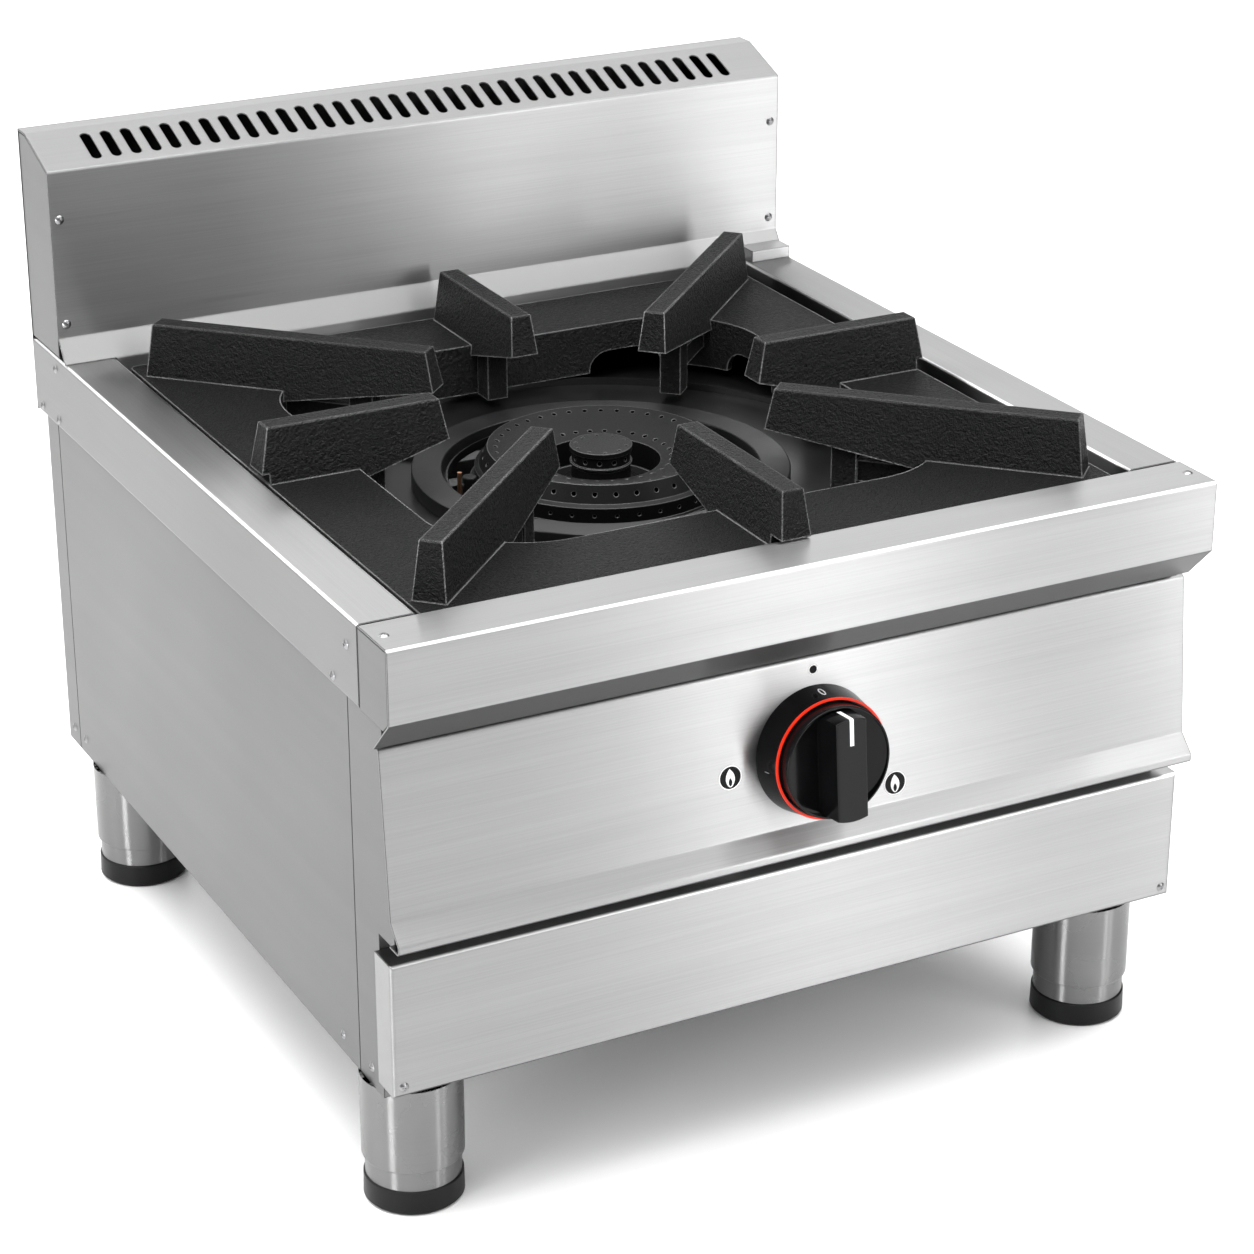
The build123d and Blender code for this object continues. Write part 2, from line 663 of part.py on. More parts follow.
def splash_side():
    """Left end plate of the splashback, set in by a seam, with a tab behind the face."""
    inset = SHEET + SEAM
    foot = WORKTOP_HEIGHT + SPLASH_SIDE_GAP
    crest_y = SPLASH_CREST + inset * math.tan(VENT_SLOPE / 2)
    crest_z = SPLASH_TOP - inset
    bend_z = SPLASH_BEND + inset * (math.tan(VENT_SLOPE) - 1 / math.cos(VENT_SLOPE))
    plate = prism_x(outline([
        (BACK_INNER, foot),
        (BACK_INNER, crest_z),
        (crest_y, crest_z),
        (SPLASH_FACE + inset, bend_z),
        (SPLASH_FACE + inset, foot),
    ]), -HALF + LIFT_GAP, -HALF + LIFT_GAP + SHEET)
    wing = -HALF + LIFT_GAP + SHEET
    tab = box(wing, wing + END_TAB, SPLASH_FACE + SHEET, SPLASH_FACE + 2 * SHEET + SEAM,
              SPLASH_FOLD + END_TAB_RAISE, SPLASH_BEND - END_TAB)
    return plate + tab


def splash_back():
    """Rear sheet of the splashback, standing on the rear frame channel."""
    return box(-HALF, HALF, BACK_INNER, DEPTH, WORKTOP_HEIGHT, SPLASH_TOP)


def rear_corner_cap():
    """Small cap over the joint at the right-hand foot of the splashback."""
    slope = SPLASH_FOOT / SPLASH_FOLD_RISE
    top = WORKTOP_HEIGHT + CORNER_CAP_HEIGHT
    right = HALF - SHEET
    solid = prism_x(outline([
        (WELL_BACK - CORNER_CAP_DEPTH, WORKTOP_HEIGHT),
        (WELL_BACK - CORNER_CAP_DEPTH, top),
        (WELL_BACK + CORNER_CAP_HEIGHT * slope, top),
        (WELL_BACK, WORKTOP_HEIGHT),
    ]), right - CORNER_CAP_WIDTH, right)
    return solid


# ---- drip tray -------------------------------------------------------------------------
def tray_front():
    """Front of the drip tray: a face with a return along each edge."""
    half = HALF - PANEL_SIDE_GAP
    back = TRAY_FACE + TRAY_FACE_DEPTH
    block = box(-half, half, TRAY_FACE, back, TRAY_FACE_BOTTOM, TRAY_FACE_TOP)
    block = fillet(block.faces().sort_by(Axis.Y)[0].edges(), BEND + SHEET)
    hollow = box(-half + SHEET, half - SHEET, TRAY_FACE + SHEET, back + SHEET,
                 TRAY_FACE_BOTTOM + SHEET, TRAY_FACE_TOP - SHEET)
    hollow = fillet(hollow.faces().sort_by(Axis.Y)[0].edges(), BEND)
    return block - hollow


def drip_tray():
    """Pull-out tray, hung by its rims on the runners."""
    front = TRAY_FACE + SHEET
    top = TRAY_FLOOR + TRAY_WALL
    block = box(-TRAY_HALF_WIDTH, TRAY_HALF_WIDTH, front, TRAY_BACK, TRAY_FLOOR, top)
    hollow = box(-TRAY_HALF_WIDTH + SHEET, TRAY_HALF_WIDTH - SHEET, front + SHEET,
                 TRAY_BACK - SHEET, TRAY_FLOOR + SHEET, top + SHEET)
    hollow = fillet(hollow.faces().sort_by(Axis.Z)[0].edges(), BEND)
    tray = block - hollow
    rear = POST_FRONT + SHEET
    for side in (-1, 1):
        near, far = side * TRAY_HALF_WIDTH, side * (TRAY_HALF_WIDTH + TRAY_RIM)
        tray += box(min(near, far), max(near, far), rear, TRAY_BACK, top - SHEET, top)
    return tray


def tray_runner():
    """Left runner: an angle between the posts, its ledge under the tray's rim."""
    ledge = TRAY_FLOOR + TRAY_WALL - SHEET - LIFT_GAP
    outer = -BODY_HALF + POST_FLANGE - SHEET
    inner = -TRAY_HALF_WIDTH - RUNNER_CLEARANCE
    section = outline([
        (outer, ledge - RUNNER_LEG),
        (outer + SHEET, ledge - RUNNER_LEG),
        (outer + SHEET, ledge - SHEET),
        (inner, ledge - SHEET),
        (inner, ledge),
        (outer, ledge),
    ])
    return prism_y(section, POST_FRONT + SHEET, BACK_INNER - SHEET)


# ---- spill pan, drip ring and grid -----------------------------------------------------
def spill_pan():
    """Pan under the grid: a flange below the well walls, a floor with a raised bead and
    an opening with an upturned lip round the burner."""
    half_x = WELL_HALF + SHEET
    front, rear = WELL_FRONT - SHEET, WELL_BACK + SHEET
    inner_x = half_x - PAN_FLANGE
    inner_front, inner_rear = front + PAN_FLANGE, rear - PAN_FLANGE
    flange = box(-half_x, half_x, front, rear, LEDGE - SHEET, LEDGE)
    shell = box(-inner_x - SHEET, inner_x + SHEET, inner_front - SHEET, inner_rear + SHEET,
                PAN_FLOOR - SHEET, LEDGE)
    shell = fillet(shell.edges().filter_by(Axis.Z), PAN_CORNER + SHEET)
    shell = fillet(shell.faces().sort_by(Axis.Z)[0].edges(), PAN_BEND + SHEET)
    hollow = box(-inner_x, inner_x, inner_front, inner_rear, PAN_FLOOR, LEDGE + SHEET)
    hollow = fillet(hollow.edges().filter_by(Axis.Z), PAN_CORNER)
    hollow = fillet(hollow.faces().sort_by(Axis.Z)[0].edges(), PAN_BEND)
    pan = flange + shell - hollow
    lip_outer = PAN_OPENING_RADIUS + SHEET
    pan += rod(lip_outer, PAN_FLOOR, PAN_FLOOR + PAN_OPENING_LIP, 0, BURNER_Y)
    pan -= rod(PAN_OPENING_RADIUS, PAN_FLOOR - 2 * SHEET, LEDGE, 0, BURNER_Y)
    bead_top = PAN_FLOOR + PAN_BEAD_HEIGHT
    bead = rod(PAN_BEAD_RADIUS + PAN_BEAD_WIDTH / 2, PAN_FLOOR, bead_top, 0, BURNER_Y)
    bead -= rod(PAN_BEAD_RADIUS - PAN_BEAD_WIDTH / 2, PAN_FLOOR, bead_top, 0, BURNER_Y)
    return pan + bead


def drip_ring():
    """Loose black ring that keeps spills off the burner, standing on the pan floor."""
    top = WORKTOP_HEIGHT - DRIP_RING_TOP_DROP
    foot = PAN_FLOOR + LIFT_GAP
    ring = turned([
        (DRIP_RING_INNER, foot),
        (DRIP_RING_INNER, top),
        (DRIP_RING_OUTER, top),
        (DRIP_RING_OUTER, foot),
        (DRIP_RING_OUTER - DRIP_RING_WALL, foot),
        (DRIP_RING_OUTER - DRIP_RING_WALL, top - DRIP_RING_WALL),
        (DRIP_RING_INNER + DRIP_RING_WALL, top - DRIP_RING_WALL),
        (DRIP_RING_INNER + DRIP_RING_WALL, foot),
    ])
    rims = ring.edges().filter_by(GeomType.CIRCLE).group_by(Axis.Z)[-1]
    ring = fillet(rims, DRIP_RING_EDGE)
    start = DRIP_RING_OUTER - DRIP_RING_WALL / 2
    reach = DRIP_RING_OUTER + DRIP_RING_LUG
    lug = box(start, reach, -DRIP_RING_LUG_WIDTH / 2, DRIP_RING_LUG_WIDTH / 2,
              foot, foot + DRIP_RING_WALL)
    for corner in range(4):
        ring += Rot(0, 0, 45 + 90 * corner) * lug
    return Pos(0, BURNER_Y, 0) * ring


def rounded_square(half, corner, z0, z1):
    return Pos(0, 0, z0) * extrude(RectangleRounded(2 * half, 2 * half, corner), z1 - z0)


def finger(reach, hole_edge, plate_edge):
    """One finger of the grid, drawn along +X: drafted bar, web and pillar."""
    crown = WORKTOP_HEIGHT + FINGER_RISE
    heel = WORKTOP_HEIGHT - FINGER_HEEL_DROP
    overhang = WORKTOP_HEIGHT + FINGER_OVERHANG_LIFT
    end_foot = overhang if reach > plate_edge else heel
    rest = min(reach, plate_edge)
    side_view = outline([
        (FINGER_TIP + FINGER_END_DRAFT, crown),
        (reach - FINGER_END_DRAFT, crown),
        (reach, end_foot),
        (rest - FINGER_EDGE, end_foot),
        (rest - FINGER_EDGE, heel),
        (hole_edge, heel),
        (FINGER_TIP, WORKTOP_HEIGHT + FINGER_TIP_BOTTOM),
    ])
    bar = extrude(Plane.XZ.offset(-FINGER_BASE_WIDTH) * side_view, 2 * FINGER_BASE_WIDTH)
    flare = (FINGER_BASE_WIDTH - FINGER_TOP_WIDTH) / 2 / (crown - GRID_TOP)
    spread = FINGER_TOP_WIDTH / 2 + flare * (crown - heel)
    draft = outline([
        (-spread, heel),
        (-FINGER_TOP_WIDTH / 2, crown),
        (FINGER_TOP_WIDTH / 2, crown),
        (spread, heel),
    ])
    bar &= extrude(Plane.YZ * draft, reach + FINGER_BASE_WIDTH)
    bar = fillet(bar.faces().sort_by(Axis.Z)[-1].edges(), FINGER_EDGE)
    web = box(PILLAR_OUTER - SKIRT_WALL, hole_edge + SKIRT_WALL / 2,
              -WEB_WIDTH / 2, WEB_WIDTH / 2, WORKTOP_HEIGHT - WEB_DROP, heel + FINGER_EDGE)
    pillar = box(PILLAR_INNER, PILLAR_OUTER, -PILLAR_WIDTH / 2, PILLAR_WIDTH / 2,
                 WORKTOP_HEIGHT - SKIRT_BOTTOM_DROP, WORKTOP_HEIGHT + FINGER_TIP_BOTTOM)
    return bar + web + pillar


def pot_grid():
    """Cast grid: a plate with a round-cornered hole, a notched skirt and eight fingers."""
    skirt_bottom = WORKTOP_HEIGHT - SKIRT_BOTTOM_DROP
    plate = extrude(RectangleRounded(2 * GRID_HALF_X, 2 * GRID_HALF_Y, GRID_CORNER),
                    GRID_TOP - GRID_BOTTOM)
    grid = Pos(0, 0, GRID_BOTTOM) * plate
    grid += rounded_square(GRID_HOLE_HALF + SKIRT_WALL, GRID_HOLE_CORNER + SKIRT_WALL,
                           skirt_bottom, GRID_BOTTOM)
    grid -= rounded_square(GRID_HOLE_HALF, GRID_HOLE_CORNER, skirt_bottom, GRID_TOP)
    notch_top = WORKTOP_HEIGHT - NOTCH_TOP_DROP
    notch_depth = notch_top - skirt_bottom
    notch = box(GRID_HOLE_HALF - SKIRT_WALL, GRID_HALF_X, -NOTCH_WIDTH / 2, NOTCH_WIDTH / 2,
                skirt_bottom - notch_depth, notch_top)
    crown = notch.faces().sort_by(Axis.Z)[-1].edges().filter_by(Axis.X)
    notch = fillet(crown, NOTCH_CORNER)
    for quarter in range(4):
        for side in (-1, 1):
            grid -= Rot(0, 0, 90 * quarter + side * NOTCH_CENTRE_ANGLE) * notch
    corner_centre = (GRID_HOLE_HALF - GRID_HOLE_CORNER) * math.sqrt(2)
    diagonal = corner_centre + GRID_HOLE_CORNER
    far = math.hypot(GRID_HALF_X, GRID_HALF_Y)
    for corner in range(4):
        grid += Rot(0, 0, 45 + 90 * corner) * finger(far - FINGER_CORNER_INSET, diagonal, far)
    side_finger = finger(GRID_HALF_X + FINGER_SIDE_OVERHANG, GRID_HOLE_HALF, GRID_HALF_X)
    back_finger = finger(GRID_HALF_Y - FINGER_BACK_INSET, GRID_HOLE_HALF, GRID_HALF_Y)
    front_finger = finger(GRID_HALF_Y + FINGER_FRONT_OVERHANG, GRID_HOLE_HALF, GRID_HALF_Y)
    grid += side_finger + Rot(0, 0, 180) * side_finger
    grid += Rot(0, 0, 90) * back_finger
    grid += Rot(0, 0, -90) * front_finger
    return Pos(0, BURNER_Y, 0) * grid


# ---- burner ----------------------------------------------------------------------------
def ports(radius, height, tilt, count, diameter):
    """A ring of gas ports; the tilt is measured from upright, outwards."""
    port = Pos(radius, 0, height) * Rot(0, tilt, 0) * Cylinder(diameter / 2, 3 * RING_WALL)
    return [Rot(0, 0, 360 / count * step) * port for step in range(count)]


def burner_body():
    """Casting with an annular gas channel, a hub on three arms and a boss for the tube."""
    floor = CASTING_BOTTOM + BODY_WALL
    body = turned([
        (DISH_INNER - BODY_WALL + RING_WALL, CASTING_BOTTOM),
        (BODY_RADIUS, CASTING_BOTTOM),
        (BODY_RADIUS, CASTING_TOP),
        (BODY_RADIUS - BODY_WALL, CASTING_TOP),
        (BODY_RADIUS - BODY_WALL, floor),
        (DISH_INNER + RING_WALL, floor),
        (DISH_INNER + RING_WALL, CASTING_TOP),
        (DISH_INNER - BODY_WALL + RING_WALL, CASTING_TOP),
    ])
    arm = box(HUB_BORE + BODY_WALL, DISH_INNER + BODY_WALL / 2, -ARM_WIDTH / 2, ARM_WIDTH / 2,
              CASTING_BOTTOM, CASTING_BOTTOM + ARM_HEIGHT)
    body += rod(HUB_RADIUS, CASTING_BOTTOM, CASTING_TOP)
    for step in range(3):
        body += Rot(0, 0, 120 * step - 90) * arm
    boss_end = BODY_RADIUS - BODY_WALL / 2
    body += rod_y(BOSS_RADIUS, -BODY_RADIUS - BOSS_LENGTH, -boss_end, 0, BOSS_HEIGHT)
    body -= rod(HUB_BORE, floor, CASTING_TOP + BODY_WALL)
    body -= rod_y(ARM_BORE, -DISH_INNER - 2 * BODY_WALL, 0, 0,
                  CASTING_BOTTOM + ARM_HEIGHT / 2)
    body -= rod_y(TUBE_THROAT, -BODY_RADIUS - BOSS_LENGTH, -BODY_RADIUS + 2 * BODY_WALL,
                  0, BOSS_HEIGHT)
    body -= rod_y(TUBE_THROAT + TUBE_WALL, -BODY_RADIUS - BOSS_LENGTH,
                  -BODY_RADIUS - BOSS_LENGTH + TUBE_SOCKET, 0, BOSS_HEIGHT)
    return Pos(0, BURNER_Y, 0) * body


def flame_ring():
    """Loose ring over the gas channel: a dished top, a sloping side and rows of ports."""
    ledge = BURNER_TOP - RIM_SLOPE_DROP
    shoulder = ledge - LEDGE_DROP
    rim = RIM_RADIUS + RIM_SLOPE_OUT
    band = rim + LEDGE_OUT
    flange_top = RING_SEAT + FLANGE_THICKNESS
    bore = band - RING_WALL
    dish_low = BURNER_TOP - DISH_DROP
    ring = turned([
        (RIM_RADIUS, BURNER_TOP),
        (rim, ledge),
        (band, shoulder),
        (band, flange_top),
        (band + FLANGE_OUT, flange_top),
        (band + FLANGE_OUT, RING_SEAT),
        (bore, RING_SEAT),
        (bore, shoulder - LEDGE_DROP / 2),
        (RIM_RADIUS - LEDGE_DROP, BURNER_TOP - RING_WALL - LEDGE_DROP),
        (DISH_INNER + RING_WALL, dish_low - RING_WALL - LEDGE_DROP / 2),
        (DISH_INNER + RING_WALL, RING_SEAT),
        (DISH_INNER, RING_SEAT),
        (DISH_INNER, dish_low),
    ])
    slope = DISH_DROP / (RIM_RADIUS - DISH_INNER)
    dish_tilt = -math.degrees(math.atan(slope))
    side_tilt = math.degrees(math.atan(RIM_SLOPE_DROP / RIM_SLOPE_OUT))
    outer_row = RIM_RADIUS - OUTER_ROW_INSET
    inner_row = DISH_INNER + INNER_ROW_OUT
    outer_height = BURNER_TOP - (RIM_RADIUS - outer_row) * slope
    inner_height = BURNER_TOP - (RIM_RADIUS - inner_row) * slope
    holes = ports(outer_row, outer_height, dish_tilt, OUTER_PORT_COUNT, PORT_DIAMETER)
    holes += ports(inner_row, inner_height, dish_tilt, INNER_PORT_COUNT, PORT_DIAMETER)
    holes += ports((RIM_RADIUS + rim) / 2, (BURNER_TOP + ledge) / 2, side_tilt,
                   SIDE_PORT_COUNT, PORT_DIAMETER)
    holes += ports(band, (flange_top + shoulder) / 2, 90, SIDE_PORT_COUNT, PORT_SMALL)
    return Pos(0, BURNER_Y, 0) * (ring - holes)


def centre_cap():
    """Loose cap over the hub: a disc on a ported band, with a flared foot and a spigot."""
    disc_under = BURNER_TOP - CAP_DISC
    band_foot = disc_under - CAP_BAND
    neck = CAP_RADIUS - CAP_STEP
    spigot = HUB_BORE - FOOT_FIT
    foot = RING_SEAT
    cap = turned([
        (0, BURNER_TOP),
        (CAP_RADIUS, BURNER_TOP),
        (CAP_RADIUS, disc_under),
        (neck, disc_under),
        (neck, band_foot),
        (CAP_RADIUS, band_foot),
        (CAP_RADIUS, band_foot - CAP_STEP),
        (neck, band_foot - 2 * CAP_STEP),
        (neck + CAP_STEP / 2, foot + CAP_FLARE),
        (CAP_BASE_RADIUS - CAP_STEP, foot + 2 * CAP_STEP),
        (CAP_BASE_RADIUS, foot + CAP_STEP),
        (CAP_BASE_RADIUS, foot),
        (spigot, foot),
        (spigot, foot - CAP_SPIGOT),
        (spigot - CAP_WALL, foot - CAP_SPIGOT),
        (spigot - CAP_WALL, foot),
        (neck - CAP_WALL, band_foot),
        (neck - CAP_WALL, disc_under),
        (0, disc_under),
    ])
    holes = ports(neck, (disc_under + band_foot) / 2, 90, CAP_PORT_COUNT, PORT_DIAMETER)
    top_row = CAP_RADIUS - CAP_WALL - CAP_STEP
    holes += ports(top_row, BURNER_TOP, 0, CAP_TOP_PORT_COUNT, PORT_SMALL)
    return Pos(0, BURNER_Y, 0) * (cap - holes)


def burner_bridge():
    """Channel across the cabinet that carries the burner."""
    section = folded([
        (BURNER_Y + BRIDGE_WIDTH / 2, CASTING_BOTTOM - BRIDGE_LIP),
        (BURNER_Y + BRIDGE_WIDTH / 2, CASTING_BOTTOM),
        (BURNER_Y - BRIDGE_WIDTH / 2, CASTING_BOTTOM),
        (BURNER_Y - BRIDGE_WIDTH / 2, CASTING_BOTTOM - BRIDGE_LIP),
    ])
    return prism_x(section, -BODY_INNER, BODY_INNER)


def pilot_burner():
    """Pilot tube beside the flame ring, with its outlets just below the tip."""
    top = WORKTOP_HEIGHT - PILOT_TOP_DROP
    tube = rod(PILOT_RADIUS, CASTING_BOTTOM, top)
    tube = fillet(tube.faces().sort_by(Axis.Z)[-1].edges(), PILOT_EDGE)
    tube -= rod(PILOT_RADIUS - PIPE_WALL, CASTING_BOTTOM, top - 2 * PIPE_WALL)
    outlet = Pos(0, 0, top - PILOT_RADIUS) * Rot(0, 90, 0) * Cylinder(PORT_SMALL / 2, BODY_RADIUS)
    return Pos(-PILOT_RING, BURNER_Y, 0) * (tube - outlet)


def thermocouple():
    """Probe beside the pilot."""
    top = WORKTOP_HEIGHT - PILOT_TOP_DROP
    probe = rod(PROBE_RADIUS, CASTING_BOTTOM, top - PILOT_RADIUS)
    probe += rod(2 * PROBE_RADIUS, CASTING_BOTTOM, CASTING_BOTTOM + PROBE_COLLAR)
    turn = Pos(0, BURNER_Y, 0) * Rot(0, 0, -PROBE_ANGLE)
    return turn * Pos(-PILOT_RING, 0, 0) * probe


# ---- gas train -------------------------------------------------------------------------
def mixing_tube():
    """Venturi tube, its mouth towards the injector and its end in the burner's boss."""
    length = TUBE_LENGTH + TUBE_SOCKET
    inner = [(TUBE_MOUTH, 0), (TUBE_THROAT, TUBE_LENGTH / 2), (TUBE_THROAT, length)]
    outer = [(r + TUBE_WALL, y) for r, y in reversed(inner)]
    tube = turned(inner + outer)
    return Pos(0, TUBE_FRONT, BOSS_HEIGHT) * Rot(-90, 0, 0) * tube


def air_shutter():
    """Disc on the injector that is moved towards the tube's mouth to cut down the air."""
    face = SHUTTER_BACK - SHUTTER_THICKNESS
    shutter = rod_y(SHUTTER_RADIUS, face, SHUTTER_BACK, 0, BOSS_HEIGHT)
    shutter += rod_y(SHUTTER_HUB, face - SHUTTER_THICKNESS, face, 0, BOSS_HEIGHT)
    bore = INJECTOR_RADIUS + SHUTTER_BORE_FIT
    return shutter - rod_y(bore, face - 2 * SHUTTER_THICKNESS, TUBE_FRONT, 0, BOSS_HEIGHT)


INJECTOR_TIP = TUBE_FRONT - LIFT_GAP
INJECTOR_FOOT = INJECTOR_TIP - INJECTOR_LENGTH


def injector():
    """Injector: a hexagon for the spanner, then the barrel the shutter slides on."""
    barrel = rod_y(INJECTOR_RADIUS, INJECTOR_FOOT, INJECTOR_TIP, 0, BOSS_HEIGHT)
    hexagon = RegularPolygon(INJECTOR_RADIUS + PIPE_WALL, 6)
    hexagon = Plane.XZ.offset(-INJECTOR_FOOT - INJECTOR_HEX) * Pos(0, BOSS_HEIGHT) * hexagon
    barrel += extrude(hexagon, INJECTOR_HEX)
    return barrel - rod_y(INJECTOR_BORE, INJECTOR_FOOT, INJECTOR_TIP, 0, BOSS_HEIGHT)


def along_knob(radius, z0, z1):
    """A cylinder on the knob's axis; distances run outwards from the panel face."""
    return KNOB_PLANE * Pos(0, 0, (z0 + z1) / 2) * Cylinder(radius, z1 - z0)


def valve_axis_height(y):
    """Height of the valve's axis at a distance behind the worktop's face."""
    return KNOB_Z - (y - KNOB_Y) * math.tan(LEAN)


OUTLET_TOP = valve_axis_height(OUTLET_BACK) + OUTLET_RISE
INLET_PORT_END = KNOB_SIDE + INLET_PORT_REACH
INLET_PORT_HEIGHT = valve_axis_height(INLET_PORT_BACK)
BODY_START = -VALVE_BOSS_REACH


def gas_valve():
    """Valve behind the panel: nose, body, outlet on top and inlet at the right."""
    body = along_knob(VALVE_BOSS_RADIUS, BODY_START, -SHEET)
    body += along_knob(VALVE_RADIUS, BODY_START - VALVE_LENGTH, BODY_START)
    body += rod(FEED_PIPE_RADIUS + PORT_BOSS_WALL, OUTLET_TOP - OUTLET_RISE, OUTLET_TOP,
                0, OUTLET_BACK)
    inlet = Rot(0, 90, 0) * Cylinder(SUPPLY_PIPE_RADIUS + PORT_BOSS_WALL, INLET_PORT_REACH)
    middle = KNOB_SIDE + INLET_PORT_REACH / 2
    body += Pos(middle, INLET_PORT_BACK, INLET_PORT_HEIGHT) * inlet
    bore_end = -SPINDLE_DEPTH - KNOB_PUSH - BORE_SPARE
    body -= along_knob(SPINDLE_RADIUS + SPINDLE_FIT, bore_end, 0)
    plunger_end = -SPINDLE_DEPTH - PLUNGER_LENGTH - KNOB_PUSH - BORE_SPARE
    body -= along_knob(PLUNGER_RADIUS + SPINDLE_FIT, plunger_end, bore_end + BORE_SPARE / 2)
    body -= rod(FEED_PIPE_RADIUS, OUTLET_TOP - SOCKET_DEPTH, OUTLET_TOP + SHEET,
                0, OUTLET_BACK)
    socket = Rot(0, 90, 0) * Cylinder(SUPPLY_PIPE_RADIUS, 2 * SOCKET_DEPTH)
    body -= Pos(INLET_PORT_END, INLET_PORT_BACK, INLET_PORT_HEIGHT) * socket
    return body


def injector_pipe():
    return piped([
        (0, OUTLET_BACK, OUTLET_TOP - SOCKET_DEPTH),
        (0, OUTLET_BACK, BOSS_HEIGHT),
        (0, INJECTOR_FOOT, BOSS_HEIGHT),
    ], FEED_PIPE_RADIUS, FEED_PIPE_BEND)


def gas_pipe():
    """Supply pipe from the inlet at the rear, over the drip tray, to the valve."""
    return piped([
        (SUPPLY_SIDE, BACK_INNER - INLET_NUT_LENGTH, SUPPLY_HEIGHT),
        (SUPPLY_SIDE, INLET_PORT_BACK, SUPPLY_HEIGHT),
        (SUPPLY_SIDE, INLET_PORT_BACK, INLET_PORT_HEIGHT),
        (INLET_PORT_END - SOCKET_DEPTH, INLET_PORT_BACK, INLET_PORT_HEIGHT),
    ], SUPPLY_PIPE_RADIUS, SUPPLY_PIPE_BEND)


def gas_inlet():
    """Threaded stub through the rear panel, with a collar outside and a hexagon inside."""
    start = BACK_INNER - INLET_NUT_LENGTH
    stub = rod_y(INLET_RADIUS, start, INLET_BACK, SUPPLY_SIDE, SUPPLY_HEIGHT)
    stub = chamfer(stub.faces().sort_by(Axis.Y)[-1].edges(), PIPE_WALL)
    stub += rod_y(INLET_COLLAR_RADIUS, DEPTH, DEPTH + INLET_COLLAR, SUPPLY_SIDE, SUPPLY_HEIGHT)
    hexagon = Plane.XZ.offset(-BACK_INNER) * Pos(SUPPLY_SIDE, SUPPLY_HEIGHT) * RegularPolygon(
        INLET_NUT_RADIUS, 6)
    stub += extrude(hexagon, INLET_NUT_LENGTH)
    bore = SUPPLY_PIPE_RADIUS - PIPE_WALL
    return stub - rod_y(bore, start, INLET_BACK, SUPPLY_SIDE, SUPPLY_HEIGHT)


# ---- knob ------------------------------------------------------------------------------
KNOB_BORE = BEZEL_FRONT_RADIUS - BEZEL_WALL
KNOB_RADIUS = KNOB_BORE - KNOB_FIT
KNOB_BACK = BEZEL_WALL + KNOB_PUSH + KNOB_FIT


def knob_bezel():
    """Conical skirt fixed to the panel, with a floor behind the knob."""
    skirt = turned([
        (SPINDLE_RADIUS + KNOB_FIT, 0),
        (BEZEL_RADIUS, 0),
        (BEZEL_FRONT_RADIUS, BEZEL_HEIGHT),
        (KNOB_BORE, BEZEL_HEIGHT),
        (KNOB_BORE, BEZEL_WALL),
        (SPINDLE_RADIUS + KNOB_FIT, BEZEL_WALL),
    ])
    return KNOB_PLANE * skirt


def bezel_ring():
    """Coloured ring on the front edge of the skirt."""
    ring = Cylinder(BEZEL_FRONT_RADIUS, BEZEL_RING_HEIGHT)
    ring -= Cylinder(BEZEL_FRONT_RADIUS - BEZEL_RING_WIDTH, BEZEL_RING_HEIGHT)
    return KNOB_PLANE * Pos(0, 0, BEZEL_HEIGHT + BEZEL_RING_HEIGHT / 2) * ring


def knob():
    """Turning grip: a disc dished on both sides of a drafted bar."""
    disc = Pos(0, 0, (KNOB_BACK + KNOB_DISC_FRONT) / 2) * Cylinder(
        KNOB_RADIUS, KNOB_DISC_FRONT - KNOB_BACK)
    disc = fillet(disc.faces().sort_by(Axis.Z)[-1].edges(), KNOB_EDGE)
    well = KNOB_RADIUS - KNOB_RIM
    dish = extrude(Plane.XZ.offset(-KNOB_RADIUS) * outline([
        (0, KNOB_DISC_FRONT - KNOB_DISH),
        (-KNOB_GRIP_BASE / 2, KNOB_DISC_FRONT - KNOB_DISH),
        (-KNOB_RADIUS, KNOB_DISC_FRONT - KNOB_DISH_RIM),
        (-KNOB_RADIUS, KNOB_FRONT),
        (0, KNOB_FRONT),
    ]), 2 * KNOB_RADIUS)
    dish &= Pos(0, 0, KNOB_FRONT / 2) * Cylinder(well, KNOB_FRONT)
    body = disc - dish - mirror(dish, about=Plane.YZ)
    base = KNOB_DISC_FRONT - KNOB_DISH
    grip = extrude(Plane.XZ.offset(-KNOB_RADIUS) * outline([
        (-KNOB_GRIP_WIDTH / 2, KNOB_FRONT),
        (-KNOB_GRIP_BASE / 2, base),
        (KNOB_GRIP_BASE / 2, base),
        (KNOB_GRIP_WIDTH / 2, KNOB_FRONT),
    ]), 2 * KNOB_RADIUS)
    grip &= Pos(0, 0, KNOB_FRONT / 2) * Cylinder(KNOB_GRIP_RADIUS, KNOB_FRONT)
    grip = fillet(grip.faces().sort_by(Axis.Z)[-1].edges(), KNOB_EDGE)
    body += grip
    body -= Pos(0, 0, (KNOB_BACK + SPINDLE_REACH) / 2) * Cylinder(
        SPINDLE_RADIUS, SPINDLE_REACH - KNOB_BACK)
    return KNOB_PLANE * body


def valve_spindle():
    return along_knob(SPINDLE_RADIUS, -SPINDLE_DEPTH, SPINDLE_REACH)


def valve_plunger():
    """Rod that holds the safety valve open while the knob is pushed in."""
    return along_knob(PLUNGER_RADIUS, -SPINDLE_DEPTH - PLUNGER_LENGTH, -SPINDLE_DEPTH)


